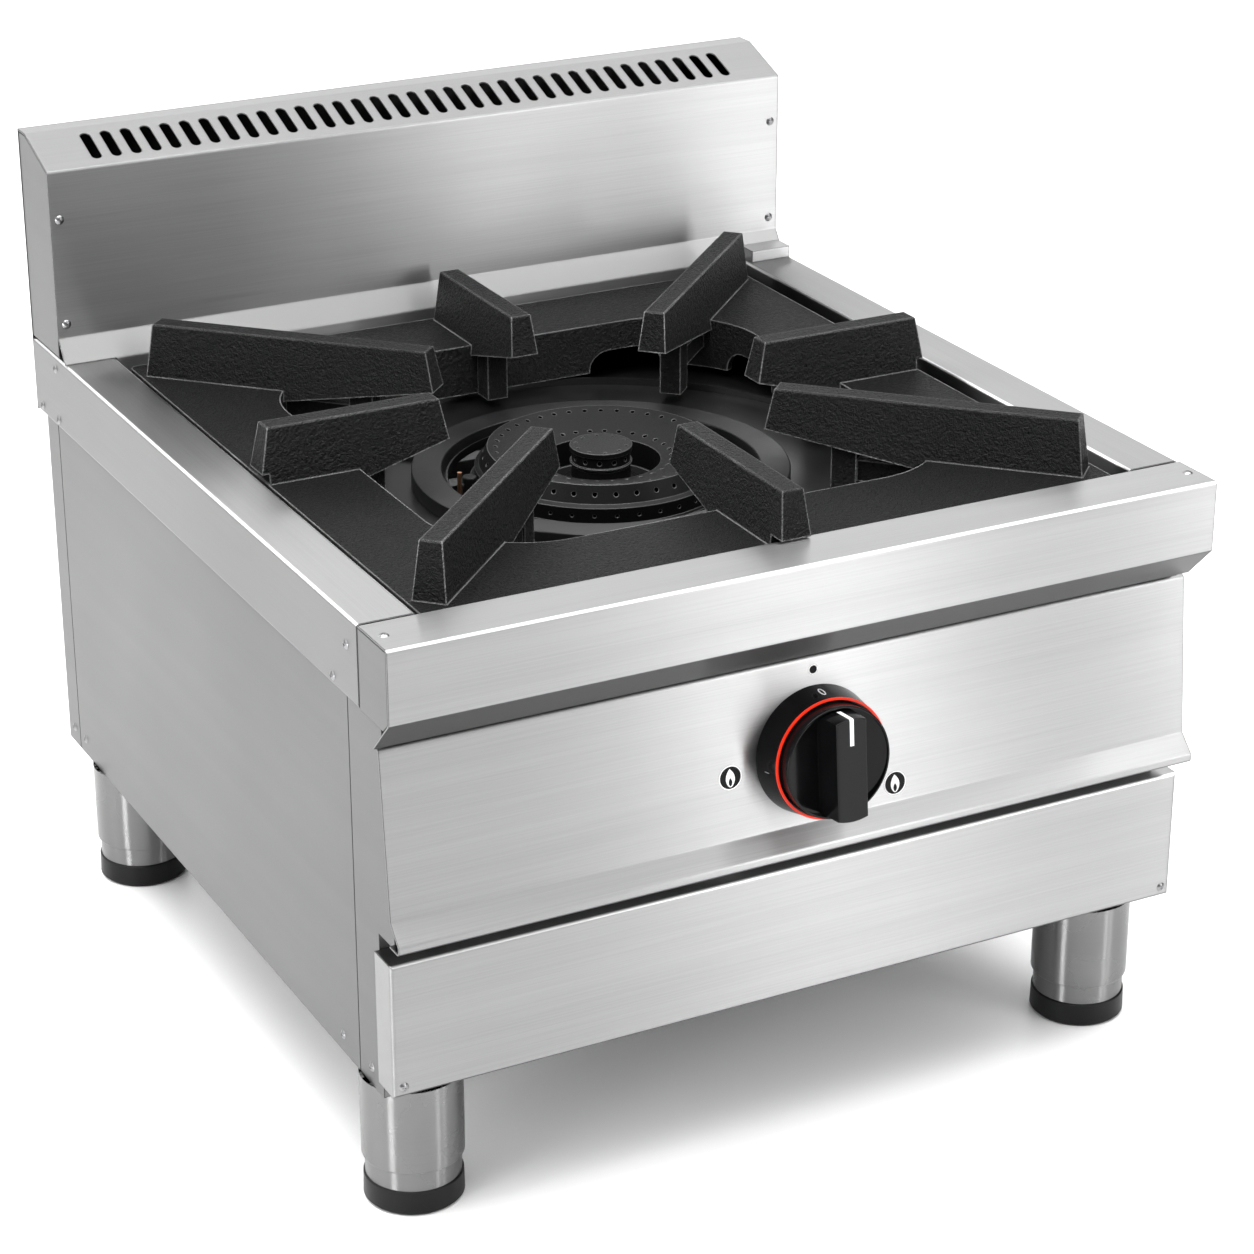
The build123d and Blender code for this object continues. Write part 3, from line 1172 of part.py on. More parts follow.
# ---- legs ------------------------------------------------------------------------------
def leg_sleeve(y):
    """Left leg sleeve with a rolled lower lip and its mounting plate."""
    sleeve = rod(SLEEVE_RADIUS, SLEEVE_BOTTOM, BODY_FLOOR, -LEG_SIDE, y)
    sleeve = fillet(sleeve.faces().sort_by(Axis.Z)[0].edges(), SLEEVE_WALL / 2)
    near = max(y - LEG_PLATE / 2, POST_FRONT + SHEET)
    plate = box(-BODY_INNER, -LEG_SIDE + LEG_PLATE / 2, near, y + LEG_PLATE / 2,
                BODY_FLOOR, BODY_FLOOR + LEG_PLATE_THICKNESS)
    bore = rod(SLEEVE_RADIUS - SLEEVE_WALL, SLEEVE_BOTTOM, BODY_FLOOR, -LEG_SIDE, y)
    return sleeve + plate - bore


def foot_tube(y):
    """Inner tube of a leg, closed at the bottom, screwed down to lengthen the leg."""
    tube = rod(TUBE_RADIUS, FOOT_STOP, FOOT_TUBE_TOP, -LEG_SIDE, y)
    bore = TUBE_RADIUS - FOOT_TUBE_WALL
    return tube - rod(bore, FOOT_STOP + FOOT_TUBE_WALL, FOOT_TUBE_TOP, -LEG_SIDE, y)


def foot_pad(y):
    """Rubber cup pressed over the end of the inner tube."""
    pad = turned([
        (0, 0),
        (PAD_RADIUS - PAD_EDGE, 0),
        (PAD_RADIUS, PAD_EDGE),
        (PAD_TOP_RADIUS, PAD_HEIGHT - PAD_EDGE / 2),
        (PAD_TOP_RADIUS - PAD_EDGE / 2, PAD_HEIGHT),
        (TUBE_RADIUS, PAD_HEIGHT),
        (TUBE_RADIUS, FOOT_STOP),
        (0, FOOT_STOP),
    ], -LEG_SIDE, y)
    return pad


# ---- screws ----------------------------------------------------------------------------
LOW_ROW = RAIL_BOTTOM + RAIL_SCREW_RISE
OUTWARD = (-1, 0, 0)
RAIL_SCREWS = [
    ((-HALF, RAIL_SCREW_FRONT, WORKTOP_HEIGHT - RAIL_SCREW_DROP), OUTWARD),
    ((-HALF, RAIL_SCREW_FRONT + RAIL_SCREW_STEP, LOW_ROW), OUTWARD),
    ((-HALF, RAIL_SCREW_REAR, WORKTOP_HEIGHT - RAIL_SCREW_DROP / 2), OUTWARD),
    ((-HALF, RAIL_SCREW_REAR, LOW_ROW), OUTWARD),
    ((-HALF, DEPTH - END_SCREW_INSET, LOW_ROW), OUTWARD),
]
FRONT_SCREWS = [((-HALF + CAP_SCREW_INSET, FRONT_RAIL_WIDTH / 2, WORKTOP_HEIGHT), (0, 0, 1))]
POST_SCREWS = [((-BODY_HALF, POST_FRONT + POST_FRONT_WIDTH / 2, BODY_SCREW_HEIGHT), OUTWARD)]
REAR_POST_SCREWS = [((-BODY_HALF, DEPTH - END_SCREW_INSET, BODY_SCREW_HEIGHT), OUTWARD)]
SIDE_SCREWS = [
    ((-BODY_HALF, RAIL_SCREW_FRONT + RAIL_SCREW_STEP + SIDE_SCREW_INSET, BODY_SCREW_HEIGHT),
     OUTWARD),
    ((-BODY_HALF, RAIL_SCREW_REAR + SIDE_SCREW_INSET / 2, BODY_SCREW_HEIGHT), OUTWARD),
]
SPLASH_SCREWS = [
    ((-HALF + SPLASH_SCREW_INSET, SPLASH_FACE, SPLASH_FOLD + SPLASH_SCREW_LOW), (0, -1, 0)),
    ((-HALF + SPLASH_SCREW_INSET, SPLASH_FACE, SPLASH_BEND - SPLASH_SCREW_HIGH), (0, -1, 0)),
]
TRAY_SCREWS = [
    ((-HALF + TRAY_SCREW_INSET, TRAY_FACE, TRAY_FACE_BOTTOM + TRAY_SCREW_RISE), (0, -1, 0)),
]


def both_sides(places):
    """The places on the left, and their mirror images on the right."""
    return places + [((-x, y, z), (-nx, ny, nz)) for (x, y, z), (nx, ny, nz) in places]


def screws(places):
    """One group of separate screws."""
    return Compound([screw(place, normal).solid() for place, normal in both_sides(places)])


# ---- assembly --------------------------------------------------------------------------
keep("left_rail", drilled(side_rail(), RAIL_SCREWS))
keep("front_rail", drilled(front_rail(), both_sides(FRONT_SCREWS)))
keep("back_rail", back_rail())
keep("front_cap_left", drilled(front_cap(), FRONT_SCREWS))
keep("rear_corner_cap", rear_corner_cap())
keep("control_panel", control_panel())
keep("front_post_left", drilled(front_post(), POST_SCREWS))
keep("rear_post_left", drilled(rear_post(), REAR_POST_SCREWS))
keep("left_side_panel", drilled(side_panel(), SIDE_SCREWS))
keep("rear_panel", rear_panel())
keep("base_panel", drilled(
    base_panel(), both_sides(POST_SCREWS + REAR_POST_SCREWS + SIDE_SCREWS)))
keep("splash_front", drilled(splash_front(), both_sides(SPLASH_SCREWS)))
keep("splash_left", drilled(splash_side(), SPLASH_SCREWS))
keep("splash_back", splash_back())
keep("tray_front", drilled(tray_front(), both_sides(TRAY_SCREWS)))
keep("drip_tray", drip_tray())
keep("tray_runner_left", tray_runner())
keep("spill_pan", spill_pan())
keep("drip_ring", drip_ring())
keep("pot_grid", pot_grid())
keep("burner_body", burner_body())
keep("flame_ring", flame_ring())
keep("centre_cap", centre_cap())
keep("burner_bridge", burner_bridge())
keep("pilot_burner", pilot_burner())
keep("thermocouple", thermocouple())
keep("mixing_tube", mixing_tube())
keep("air_shutter", air_shutter())
keep("injector", injector())
keep("injector_pipe", injector_pipe())
keep("gas_valve", gas_valve())
keep("gas_pipe", gas_pipe())
keep("gas_inlet", gas_inlet())
keep("valve_spindle", valve_spindle())
keep("valve_plunger", valve_plunger())
keep("knob_bezel", knob_bezel())
keep("bezel_ring", bezel_ring())
keep("knob", knob())
for corner, y in (("front_left", LEG_FRONT), ("rear_left", LEG_REAR)):
    keep(f"leg_sleeve_{corner}", leg_sleeve(y))
    keep(f"foot_tube_{corner}", foot_tube(y))
    keep(f"foot_pad_{corner}", foot_pad(y))
for name in list(PARTS):
    words = name.split("_")
    if "left" in words:
        keep("_".join("right" if w == "left" else w for w in words), mirrored(PARTS[name]))
keep("case_screws", screws(
    RAIL_SCREWS + FRONT_SCREWS + POST_SCREWS + REAR_POST_SCREWS + SIDE_SCREWS + SPLASH_SCREWS))
keep("tray_screws", screws(TRAY_SCREWS))

os.makedirs("parts", exist_ok=True)
for name, part in PARTS.items():
    export_step(Pos(0, -MID_Y, 0) * part, f"parts/{name}.step")
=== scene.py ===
import json
import math

import bmesh
import bpy
from mathutils import Matrix, Vector


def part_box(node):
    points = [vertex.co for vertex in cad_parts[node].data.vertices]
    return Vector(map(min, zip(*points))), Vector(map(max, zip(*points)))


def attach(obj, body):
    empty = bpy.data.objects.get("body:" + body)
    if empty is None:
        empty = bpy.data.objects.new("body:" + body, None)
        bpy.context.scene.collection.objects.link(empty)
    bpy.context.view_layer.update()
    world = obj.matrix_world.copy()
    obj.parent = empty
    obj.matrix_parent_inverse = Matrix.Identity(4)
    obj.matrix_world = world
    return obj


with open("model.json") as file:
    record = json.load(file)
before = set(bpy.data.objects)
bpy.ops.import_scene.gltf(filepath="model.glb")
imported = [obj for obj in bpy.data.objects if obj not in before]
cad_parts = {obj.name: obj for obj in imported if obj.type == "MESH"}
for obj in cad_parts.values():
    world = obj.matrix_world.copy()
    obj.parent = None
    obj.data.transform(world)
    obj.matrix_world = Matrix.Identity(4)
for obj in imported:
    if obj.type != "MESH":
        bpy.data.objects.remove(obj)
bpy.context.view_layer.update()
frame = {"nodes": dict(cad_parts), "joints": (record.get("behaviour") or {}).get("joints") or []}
SCENE = bpy.context.scene
MM = 0.001
COLOUR_A, COLOUR_B, COLOUR_OUT = 6, 7, 2    # colour sockets of Blender's Mix node


def grey(level):
    return (level, level, level)


def shade(colour, share):
    return tuple(share * v for v in colour)


# ---- node helpers ------------------------------------------------------------
def material(name):
    """A new material with its node tree and its shader."""
    mat = bpy.data.materials.new(name)
    mat.use_nodes = True
    tree = mat.node_tree
    tree.nodes.clear()
    out = tree.nodes.new("ShaderNodeOutputMaterial")
    shader = tree.nodes.new("ShaderNodeBsdfPrincipled")
    tree.links.new(shader.outputs[0], out.inputs[0])
    return mat, tree, shader


def coords(tree, scale=(1, 1, 1)):
    place = tree.nodes.new("ShaderNodeTexCoord")
    mapping = tree.nodes.new("ShaderNodeMapping")
    mapping.inputs["Scale"].default_value = scale
    tree.links.new(place.outputs["Object"], mapping.inputs["Vector"])
    return mapping.outputs[0]


def noise(tree, where, scale, detail=2.0, rough=0.5, distort=0.0):
    tex = tree.nodes.new("ShaderNodeTexNoise")
    tex.inputs["Scale"].default_value = scale
    tex.inputs["Detail"].default_value = detail
    tex.inputs["Roughness"].default_value = rough
    tex.inputs["Distortion"].default_value = distort
    tree.links.new(where, tex.inputs["Vector"])
    return tex.outputs["Fac"]


def ramp(tree, value, low, high, at=(0.3, 0.7)):
    """A value that runs from low to high while the input runs over the range at."""
    node = tree.nodes.new("ShaderNodeMapRange")
    node.inputs["From Min"].default_value = at[0]
    node.inputs["From Max"].default_value = at[1]
    node.inputs["To Min"].default_value = low
    node.inputs["To Max"].default_value = high
    tree.links.new(value, node.inputs["Value"])
    return node.outputs[0]


def calculate(tree, operation, *values):
    """A math node whose inputs are sockets or numbers."""
    node = tree.nodes.new("ShaderNodeMath")
    node.operation = operation
    for value, slot in zip(values, node.inputs):
        if isinstance(value, float):
            slot.default_value = value
        else:
            tree.links.new(value, slot)
    return node.outputs[0]


def add(tree, a, b, weight):
    """a plus weight times b."""
    return calculate(tree, "MULTIPLY_ADD", b, weight, a)


def dot(tree, a, b):
    """The dot product of a socket with a socket or a fixed vector."""
    node = tree.nodes.new("ShaderNodeVectorMath")
    node.operation = "DOT_PRODUCT"
    tree.links.new(a, node.inputs[0])
    if isinstance(b, tuple):
        node.inputs[1].default_value = b
    else:
        tree.links.new(b, node.inputs[1])
    return node.outputs["Value"]


def blend_colour(tree, value, dark, light, at=(0.3, 0.7)):
    node = tree.nodes.new("ShaderNodeValToRGB")
    for stop, place, colour in zip(node.color_ramp.elements, at, (dark, light)):
        stop.position = place
        stop.color = (*colour, 1)
    tree.links.new(value, node.inputs["Fac"])
    return node.outputs["Color"]


def mix_colour(tree, value, below, above):
    node = tree.nodes.new("ShaderNodeMix")
    node.data_type = "RGBA"
    tree.links.new(value, node.inputs["Factor"])
    tree.links.new(below, node.inputs[COLOUR_A])
    node.inputs[COLOUR_B].default_value = (*above, 1)
    return node.outputs[COLOUR_OUT]


def bump(tree, shader, height, strength, depth, normal=None):
    node = tree.nodes.new("ShaderNodeBump")
    node.inputs["Strength"].default_value = strength
    node.inputs["Distance"].default_value = depth
    tree.links.new(height, node.inputs["Height"])
    if normal is not None:
        tree.links.new(normal, node.inputs["Normal"])
    tree.links.new(node.outputs[0], shader.inputs["Normal"])


def soft_edges(tree, radius, samples=4):
    node = tree.nodes.new("ShaderNodeBevel")
    node.samples = samples
    node.inputs["Radius"].default_value = radius
    return node.outputs[0]


def surface_normal(tree):
    return tree.nodes.new("ShaderNodeNewGeometry").outputs["Normal"]


def facing(tree, axis):
    """The part of the surface's normal along one axis."""
    split = tree.nodes.new("ShaderNodeSeparateXYZ")
    tree.links.new(surface_normal(tree), split.inputs[0])
    return split.outputs[axis]


def edge_mask(tree, rounded, at=(0.003, 0.05)):
    """1 along sharp edges, 0 on flat faces."""
    same = dot(tree, rounded, surface_normal(tree))
    return ramp(tree, calculate(tree, "SUBTRACT", 1.0, same), 0.0, 1.0, at)


def painted_under_shade_mask(tree):
    """1 on faces that look down, which get a painted shade, 0 on all others."""
    return ramp(tree, facing(tree, "Z"), 1.0, 0.0, (-0.45, -0.2))


def painted_side_shade_mask(tree):
    """1 on faces that look left or right, where a painted shade goes."""
    return ramp(tree, calculate(tree, "ABSOLUTE", facing(tree, "X")), 0.0, 1.0, (0.9, 0.99))


def front_mask(tree):
    """1 on faces that look forward."""
    return ramp(tree, facing(tree, "Y"), 1.0, 0.0, (-0.9, -0.5))


def painted_fold_shading_mask(tree):
    """1 on bends and slopes between an upright face and a level top, where a painted highlight or
    painted shade goes.
    """
    rise = facing(tree, "Z")
    upper = ramp(tree, rise, 0.0, 1.0, (0.3, 0.5))
    short_of_level = ramp(tree, calculate(tree, "MULTIPLY", rise, rise), 1.0, 0.0, (0.8, 0.95))
    return calculate(tree, "MULTIPLY", upper, short_of_level)


# ---- kinds of material: noise scales are per metre ----------------------------
FINE_LINES, FINE_ALONG = 1100.0, 9.0
BROAD_LINES, BROAD_ALONG = 60.0, 1.6
ACROSS_GRAIN = 0.25     # a quarter turn spreads the reflection across the grain
# share of the tint kept in the painted shade on faces that look down
UNDER_SHADE = 0.3
CUT_EDGE = grey(0.03)
CUT_RANGE = (0.02, 0.16)
# near black, laid on faces that look forward
FRONT_BLACK = grey(0.012)
STEEL_EDGE = 1.3 * MM
TUBE_EDGE = 0.8 * MM
MOULD_EDGE = 0.5 * MM


def stretched(scale, axis, along):
    """Noise scales that are the same on all axes but one."""
    return [along if i == axis else scale for i in range(3)]


def anisotropic(tree, shader, tangent):
    shader.inputs["Metallic"].default_value = 1.0
    shader.inputs["Anisotropic"].default_value = 1.0
    shader.inputs["Anisotropic Rotation"].default_value = ACROSS_GRAIN
    tree.links.new(tangent, shader.inputs["Tangent"])


def brushed(name, grain, tint=0.27, rough=0.3, painted_fold_shading=0.0, painted_side_shade=1.0, black_front=False):
    """Sheet steel with its grain along one axis and dark cut edges.

    The colour given for the upper bends and slopes is a painted highlight or painted shade, faces
    that look left or right get a painted shade at the share given for them, the front option
    blackens the faces that look forward, and faces that look down always get a painted shade."""
    mat, tree, shader = material(name)
    axis = "XYZ".index(grain)
    fine = noise(tree, coords(tree, stretched(FINE_LINES, axis, FINE_ALONG)), 1.0, 3.0, 0.6)
    broad = noise(tree, coords(tree, stretched(BROAD_LINES, axis, BROAD_ALONG)), 1.0)
    cloud = noise(tree, coords(tree), 3.5, 3.0, 0.55)
    lines = add(tree, fine, broad, 0.6)
    steel = (tint, tint, 1.003 * tint)
    face = blend_colour(tree, lines, shade(steel, 0.93), shade(steel, 1.07), (0.5, 1.1))
    # painted shade on faces that look down
    face = mix_colour(tree, painted_under_shade_mask(tree), face, grey(tint * UNDER_SHADE))
    # painted shade on faces that look left or right
    if painted_side_shade < 1.0:
        face = mix_colour(tree, painted_side_shade_mask(tree), face, grey(tint * painted_side_shade))
    # faces that look forward blackened
    if black_front:
        face = mix_colour(tree, front_mask(tree), face, FRONT_BLACK)
    # painted highlight or painted shade on upper bends and slopes
    if painted_fold_shading > 0.0:
        face = mix_colour(tree, painted_fold_shading_mask(tree), face, grey(painted_fold_shading))
    rounded = soft_edges(tree, STEEL_EDGE, 6)
    cut = edge_mask(tree, rounded, CUT_RANGE)
    tree.links.new(mix_colour(tree, cut, face, CUT_EDGE), shader.inputs["Base Color"])
    tree.links.new(ramp(tree, add(tree, fine, cloud, 1.0), rough - 0.02, rough + 0.03,
                        (0.7, 1.3)), shader.inputs["Roughness"])
    along = tree.nodes.new("ShaderNodeCombineXYZ")
    along.inputs[axis].default_value = 1.0
    anisotropic(tree, shader, along.outputs[0])
    bump(tree, shader, fine, 0.12, 0.01 * MM, rounded)
    return mat


def turned_steel(name, tint, rough):
    """Tube steel polished round an upright axis."""
    mat, tree, shader = material(name)
    lines = noise(tree, coords(tree, (3.0, 3.0, 2600.0)), 1.0, 3.0, 0.6)
    cloud = noise(tree, coords(tree), 25.0, 3.0)
    steel = grey(tint)
    tree.links.new(blend_colour(tree, lines, shade(steel, 0.97), shade(steel, 1.03), (0.3, 0.75)),
                   shader.inputs["Base Color"])
    tree.links.new(ramp(tree, cloud, rough - 0.02, rough + 0.03), shader.inputs["Roughness"])
    around = tree.nodes.new("ShaderNodeVectorMath")
    around.operation = "CROSS_PRODUCT"
    tree.links.new(surface_normal(tree), around.inputs[0])
    around.inputs[1].default_value = (0, 0, 1)
    anisotropic(tree, shader, around.outputs[0])
    bump(tree, shader, lines, 0.02, 0.01 * MM, soft_edges(tree, TUBE_EDGE))
    return mat


def sheet(name, tint, rough, spot=55.0):
    """Unbrushed mill-finish sheet, drawn tube or machined metal."""
    mat, tree, shader = material(name)
    cloud = noise(tree, coords(tree), spot, 4.0, 0.55)
    fine = noise(tree, coords(tree), 1400.0, 2.0, 0.6)
    tree.links.new(blend_colour(tree, cloud, shade(tint, 0.93), tint), shader.inputs["Base Color"])
    tree.links.new(ramp(tree, cloud, rough - 0.015, rough + 0.02), shader.inputs["Roughness"])
    shader.inputs["Metallic"].default_value = 1.0
    bump(tree, shader, fine, 0.25, 0.03 * MM)
    return mat


def cast(name, base, worn, rough, grain, depth, edge=1.2 * MM, metallic=0.0, shine=0.16):
    """Cast iron: a pebbled skin, cloudy tone and paler edges."""
    mat, tree, shader = material(name)
    where = coords(tree)
    skin = noise(tree, where, grain, 3.0, 0.6, 0.6)
    pits = noise(tree, where, grain * 3.1, 2.0, 0.6)
    cloud = noise(tree, where, 16.0, 4.0, 0.6)
    rounded = soft_edges(tree, edge, 6)
    rub = calculate(tree, "MULTIPLY", edge_mask(tree, rounded), ramp(tree, cloud, 0.35, 1.0))
    tone = add(tree, cloud, skin, 1.4)
    body = blend_colour(tree, tone, shade(base, 0.45), shade(base, 1.8), (1.0, 1.45))
    tree.links.new(mix_colour(tree, rub, body, worn), shader.inputs["Base Color"])
    tree.links.new(ramp(tree, skin, rough - 0.08, rough + 0.1), shader.inputs["Roughness"])
    shader.inputs["Metallic"].default_value = metallic
    shader.inputs["Specular IOR Level"].default_value = shine
    bump(tree, shader, add(tree, skin, pits, 0.35), 0.9, depth, rounded)
    return mat


def moulded(name, base, rough, coat=0.0, grain=900.0, shine=0.5):
    """Moulded plastic, rubber, enamel or ink with a faint skin texture."""
    mat, tree, shader = material(name)
    where = coords(tree)
    skin = noise(tree, where, grain, 2.0, 0.6)
    cloud = noise(tree, where, 40.0, 3.0)
    tree.links.new(blend_colour(tree, cloud, shade(base, 0.8), shade(base, 1.2)),
                   shader.inputs["Base Color"])
    tree.links.new(ramp(tree, cloud, rough - 0.04, rough + 0.06), shader.inputs["Roughness"])
    shader.inputs["Coat Weight"].default_value = coat
    shader.inputs["Specular IOR Level"].default_value = shine
    shader.inputs["Coat Roughness"].default_value = 0.12
    bump(tree, shader, skin, 0.2, 0.04 * MM, soft_edges(tree, MOULD_EDGE))
    return mat


# ---- the range's materials -----------------------------------------------------
STEEL_X = brushed("steel_grain_x", "X")
# painted highlight on the upper bends
STEEL_RAIL = brushed("rail_grain_x", "X", painted_fold_shading=0.7)
# painted highlight on the upper bends, painted shade on faces that look left or right
STEEL_Y = brushed("steel_grain_y", "Y", painted_fold_shading=0.7, painted_side_shade=0.62)
# a darker copy of the brushed steel: painted shade on the side panels, posts and caps
STEEL_SIDE_PAINTED_SHADE = brushed("steel_side_grain_y_painted_shade", "Y", tint=0.145, rough=0.34)
# painted shade on the slope
STEEL_SPLASH = brushed("splash_grain_x", "X", painted_fold_shading=0.2)
STEEL_FLUE = brushed("flue_grain_x", "X", black_front=True)
# a darker copy of the brushed steel: painted shade on the back rail
STEEL_BACK_PAINTED_SHADE = brushed("back_grain_x_painted_shade", "X", tint=0.2)
LEG = turned_steel("leg_steel", tint=0.19, rough=0.27)
SHEET = sheet("mill_sheet", (0.3, 0.3, 0.303), 0.4)
# steel darkened to near black: painted shade under the grid
PAN_PAINTED_SHADE = sheet("pan_steel_painted_shade", (0.09, 0.09, 0.091), 0.33)
COPPER = sheet("copper_tube", (0.62, 0.34, 0.2), 0.35)
BRASS = sheet("machined_brass", (0.68, 0.52, 0.25), 0.3)
SCREW = sheet("screw_steel", (0.26, 0.26, 0.265), 0.3, spot=400.0)
IRON = cast("grid_iron", (0.0085, 0.0085, 0.009), grey(0.42), 0.4, grain=420.0, depth=6 * MM,
            edge=1.6 * MM, shine=0.2)
BURNER = cast("burner_iron", (0.017, 0.017, 0.0175), grey(0.16), 0.42, grain=1100.0,
              depth=0.12 * MM, edge=0.9 * MM, metallic=0.55)
CASTING = cast("rough_casting", (0.06, 0.06, 0.062), grey(0.16), 0.6, grain=700.0, depth=0.4 * MM)
ENAMEL = moulded("black_enamel", (0.008, 0.008, 0.0085), 0.36, shine=0.3)
RUBBER = moulded("black_rubber", (0.0035, 0.0035, 0.0038), 0.42, grain=1500.0, shine=0.2)
KNOB = moulded("knob_black", (0.003, 0.003, 0.0034), 0.2, coat=0.2, shine=0.05)
RED = moulded("ring_red", (0.8, 0.028, 0.006), 0.4, shine=0.25)
WHITE = moulded("print_white", grey(0.86), 0.5)
INK = moulded("print_black", (0.004, 0.004, 0.0045), 0.4, shine=0.1)
FAINT = moulded("print_faint", grey(0.22), 0.5)

LOOK = {
    "left_rail": STEEL_Y, "right_rail": STEEL_Y, "front_rail": STEEL_RAIL, "back_rail": STEEL_BACK_PAINTED_SHADE,
    "front_cap_left": STEEL_SIDE_PAINTED_SHADE, "front_cap_right": STEEL_SIDE_PAINTED_SHADE, "rear_corner_cap": STEEL_X,
    "control_panel": STEEL_X, "front_post_left": STEEL_SIDE_PAINTED_SHADE, "front_post_right": STEEL_SIDE_PAINTED_SHADE,
    "rear_post_left": STEEL_SIDE_PAINTED_SHADE, "rear_post_right": STEEL_SIDE_PAINTED_SHADE,
    "left_side_panel": STEEL_SIDE_PAINTED_SHADE, "right_side_panel": STEEL_SIDE_PAINTED_SHADE, "rear_panel": SHEET,
    "base_panel": SHEET, "splash_front": STEEL_SPLASH, "splash_left": STEEL_SIDE_PAINTED_SHADE,
    "splash_right": STEEL_SIDE_PAINTED_SHADE, "splash_back": STEEL_FLUE, "tray_front": STEEL_RAIL,
    "drip_tray": SHEET, "tray_runner_left": SHEET, "tray_runner_right": SHEET,
    "spill_pan": PAN_PAINTED_SHADE, "drip_ring": ENAMEL, "pot_grid": IRON, "burner_body": CASTING,
    "flame_ring": BURNER, "centre_cap": BURNER, "burner_bridge": ENAMEL, "pilot_burner": BURNER,
    "thermocouple": COPPER, "mixing_tube": CASTING, "air_shutter": SHEET, "injector": BRASS,
    "injector_pipe": COPPER, "gas_valve": BRASS, "gas_pipe": SHEET, "gas_inlet": BRASS,
    "valve_spindle": SHEET, "valve_plunger": BRASS, "knob_bezel": KNOB, "bezel_ring": RED,
    "knob": KNOB, "case_screws": SCREW, "tray_screws": SCREW,
}
for corner in ("front_left", "front_right", "rear_left", "rear_right"):
    LOOK[f"leg_sleeve_{corner}"] = LEG
    LOOK[f"foot_tube_{corner}"] = LEG
    LOOK[f"foot_pad_{corner}"] = RUBBER
for name, obj in frame["nodes"].items():
    for slot in obj.material_slots:
        slot.material = LOOK[name]


# ---- extra pieces ----------------------------------------------------------------
def piece(name, build, mat, body):
    """A piece whose mesh comes from build, riding on a CAD body."""
    mesh = bpy.data.meshes.new(name)
    made = bmesh.new()
    build(made)
    bmesh.ops.recalc_face_normals(made, faces=made.faces)
    made.to_mesh(mesh)
    made.free()
    obj = bpy.data.objects.new(name, mesh)
    SCENE.collection.objects.link(obj)
    mesh.materials.append(mat)
    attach(obj, body)
    return obj


def join_rings(made, low, high):
    """Quads between two rings of points."""
    for i, (a, b) in enumerate(zip(low, high)):
        j = (i + 1) % len(low)
        made.faces.new([a, low[j], high[j], b])


def slab(made, loops, base, top, to_world):
    """A flat printed shape inside an outer loop, with an optional inner loop as its hole."""
    rings = [[[made.verts.new(to_world @ Vector((x, y, height))) for x, y in loop]
              for loop in loops] for height in (base, top)]
    for loop_low, loop_high in zip(*rings):
        join_rings(made, loop_low, loop_high)
    for level in rings:
        if len(loops) == 1:
            made.faces.new(level[0])
        else:
            join_rings(made, *level)


# ---- printed marks on the control panel: sizes in millimetres from the knob's axis ----
KNOB_JOINT = next(joint for joint in frame["joints"] if joint["name"] == "knob_turn")
ACROSS = Vector((1, 0, 0))
OUT = Vector(KNOB_JOINT["axis"]).normalized()
UP = OUT.cross(ACROSS)
PANEL_TURN = Matrix((ACROSS, UP, OUT)).transposed().to_4x4()
PANEL = Matrix.Translation(KNOB_JOINT["pos_m"]) @ PANEL_TURN @ Matrix.Scale(MM, 4)
PRINT = 0.12
LOOP_STEPS = 48
FLAME_DISC = 7.6
FLAME_RIM = 0.7
FLAME_LEFT = (-63.0, -6.2)
FLAME_RIGHT = (59.7, -36.6)
OUTER_FLAME, OUTER_DROP = (3.9, 6.3), 0.2
INNER_FLAME, INNER_DROP = (1.6, 2.9), 3.0
FLAME_WIDEN = 1.25
FLAME_FOOT, FLAME_SWELL = 0.35, 1.25
TIP_POWER, SWELL_POWER, SIDE_POWER = 0.55, 0.6, 0.9
TIP_BEND = 0.12
DOT_RISE = 54.6
DOT_RADIUS = 2.7
DOT_RIM = 0.6


def oval(x, y, half_w, half_h):
    turn = 2 * math.pi / LOOP_STEPS
    return [(x + half_w * math.cos(i * turn), y + half_h * math.sin(i * turn))
            for i in range(LOOP_STEPS)]


def flame(x, y, half_w, half_h):
    """A drop that is round below and drawn out to a point above, its tip bent to the left."""
    points = []
    for i in range(LOOP_STEPS):
        turn = 2 * math.pi * i / LOOP_STEPS - math.pi / 2
        rise = (math.sin(turn) + 1) / 2
        waist = (1 - rise) ** TIP_POWER * (FLAME_FOOT + FLAME_SWELL * rise) ** SWELL_POWER
        side = math.copysign(abs(math.cos(turn)) ** SIDE_POWER, math.cos(turn))
        across = FLAME_WIDEN * side * waist - TIP_BEND * rise ** 3
        points.append((x + half_w * across, y + half_h * (2 * rise - 1)))
    return points


def print_mark(name, loops, mat, base=0, top=PRINT, to_world=PANEL):
    piece(name, lambda made: slab(made, loops, base, top, to_world), mat, "cabinet")


def rimmed_disc(disc_name, rim_name, x, y, radius, rim):
    print_mark(disc_name, [oval(x, y, radius, radius)], INK)
    outer = oval(x, y, radius + rim, radius + rim)
    print_mark(rim_name, [outer, oval(x, y, radius, radius)], WHITE)


def flame_mark(name, x, y):
    rimmed_disc(f"{name}_disc", f"{name}_rim", x, y, FLAME_DISC, FLAME_RIM)
    flames = [flame(x, y - OUTER_DROP, *OUTER_FLAME), flame(x, y - INNER_DROP, *INNER_FLAME)]
    print_mark(f"{name}_flame", flames, WHITE, PRINT, 2 * PRINT)


flame_mark("flame_mark_left", *FLAME_LEFT)
flame_mark("flame_mark_right", *FLAME_RIGHT)
rimmed_disc("index_dot", "index_dot_rim", 0, DOT_RISE, DOT_RADIUS, DOT_RIM)

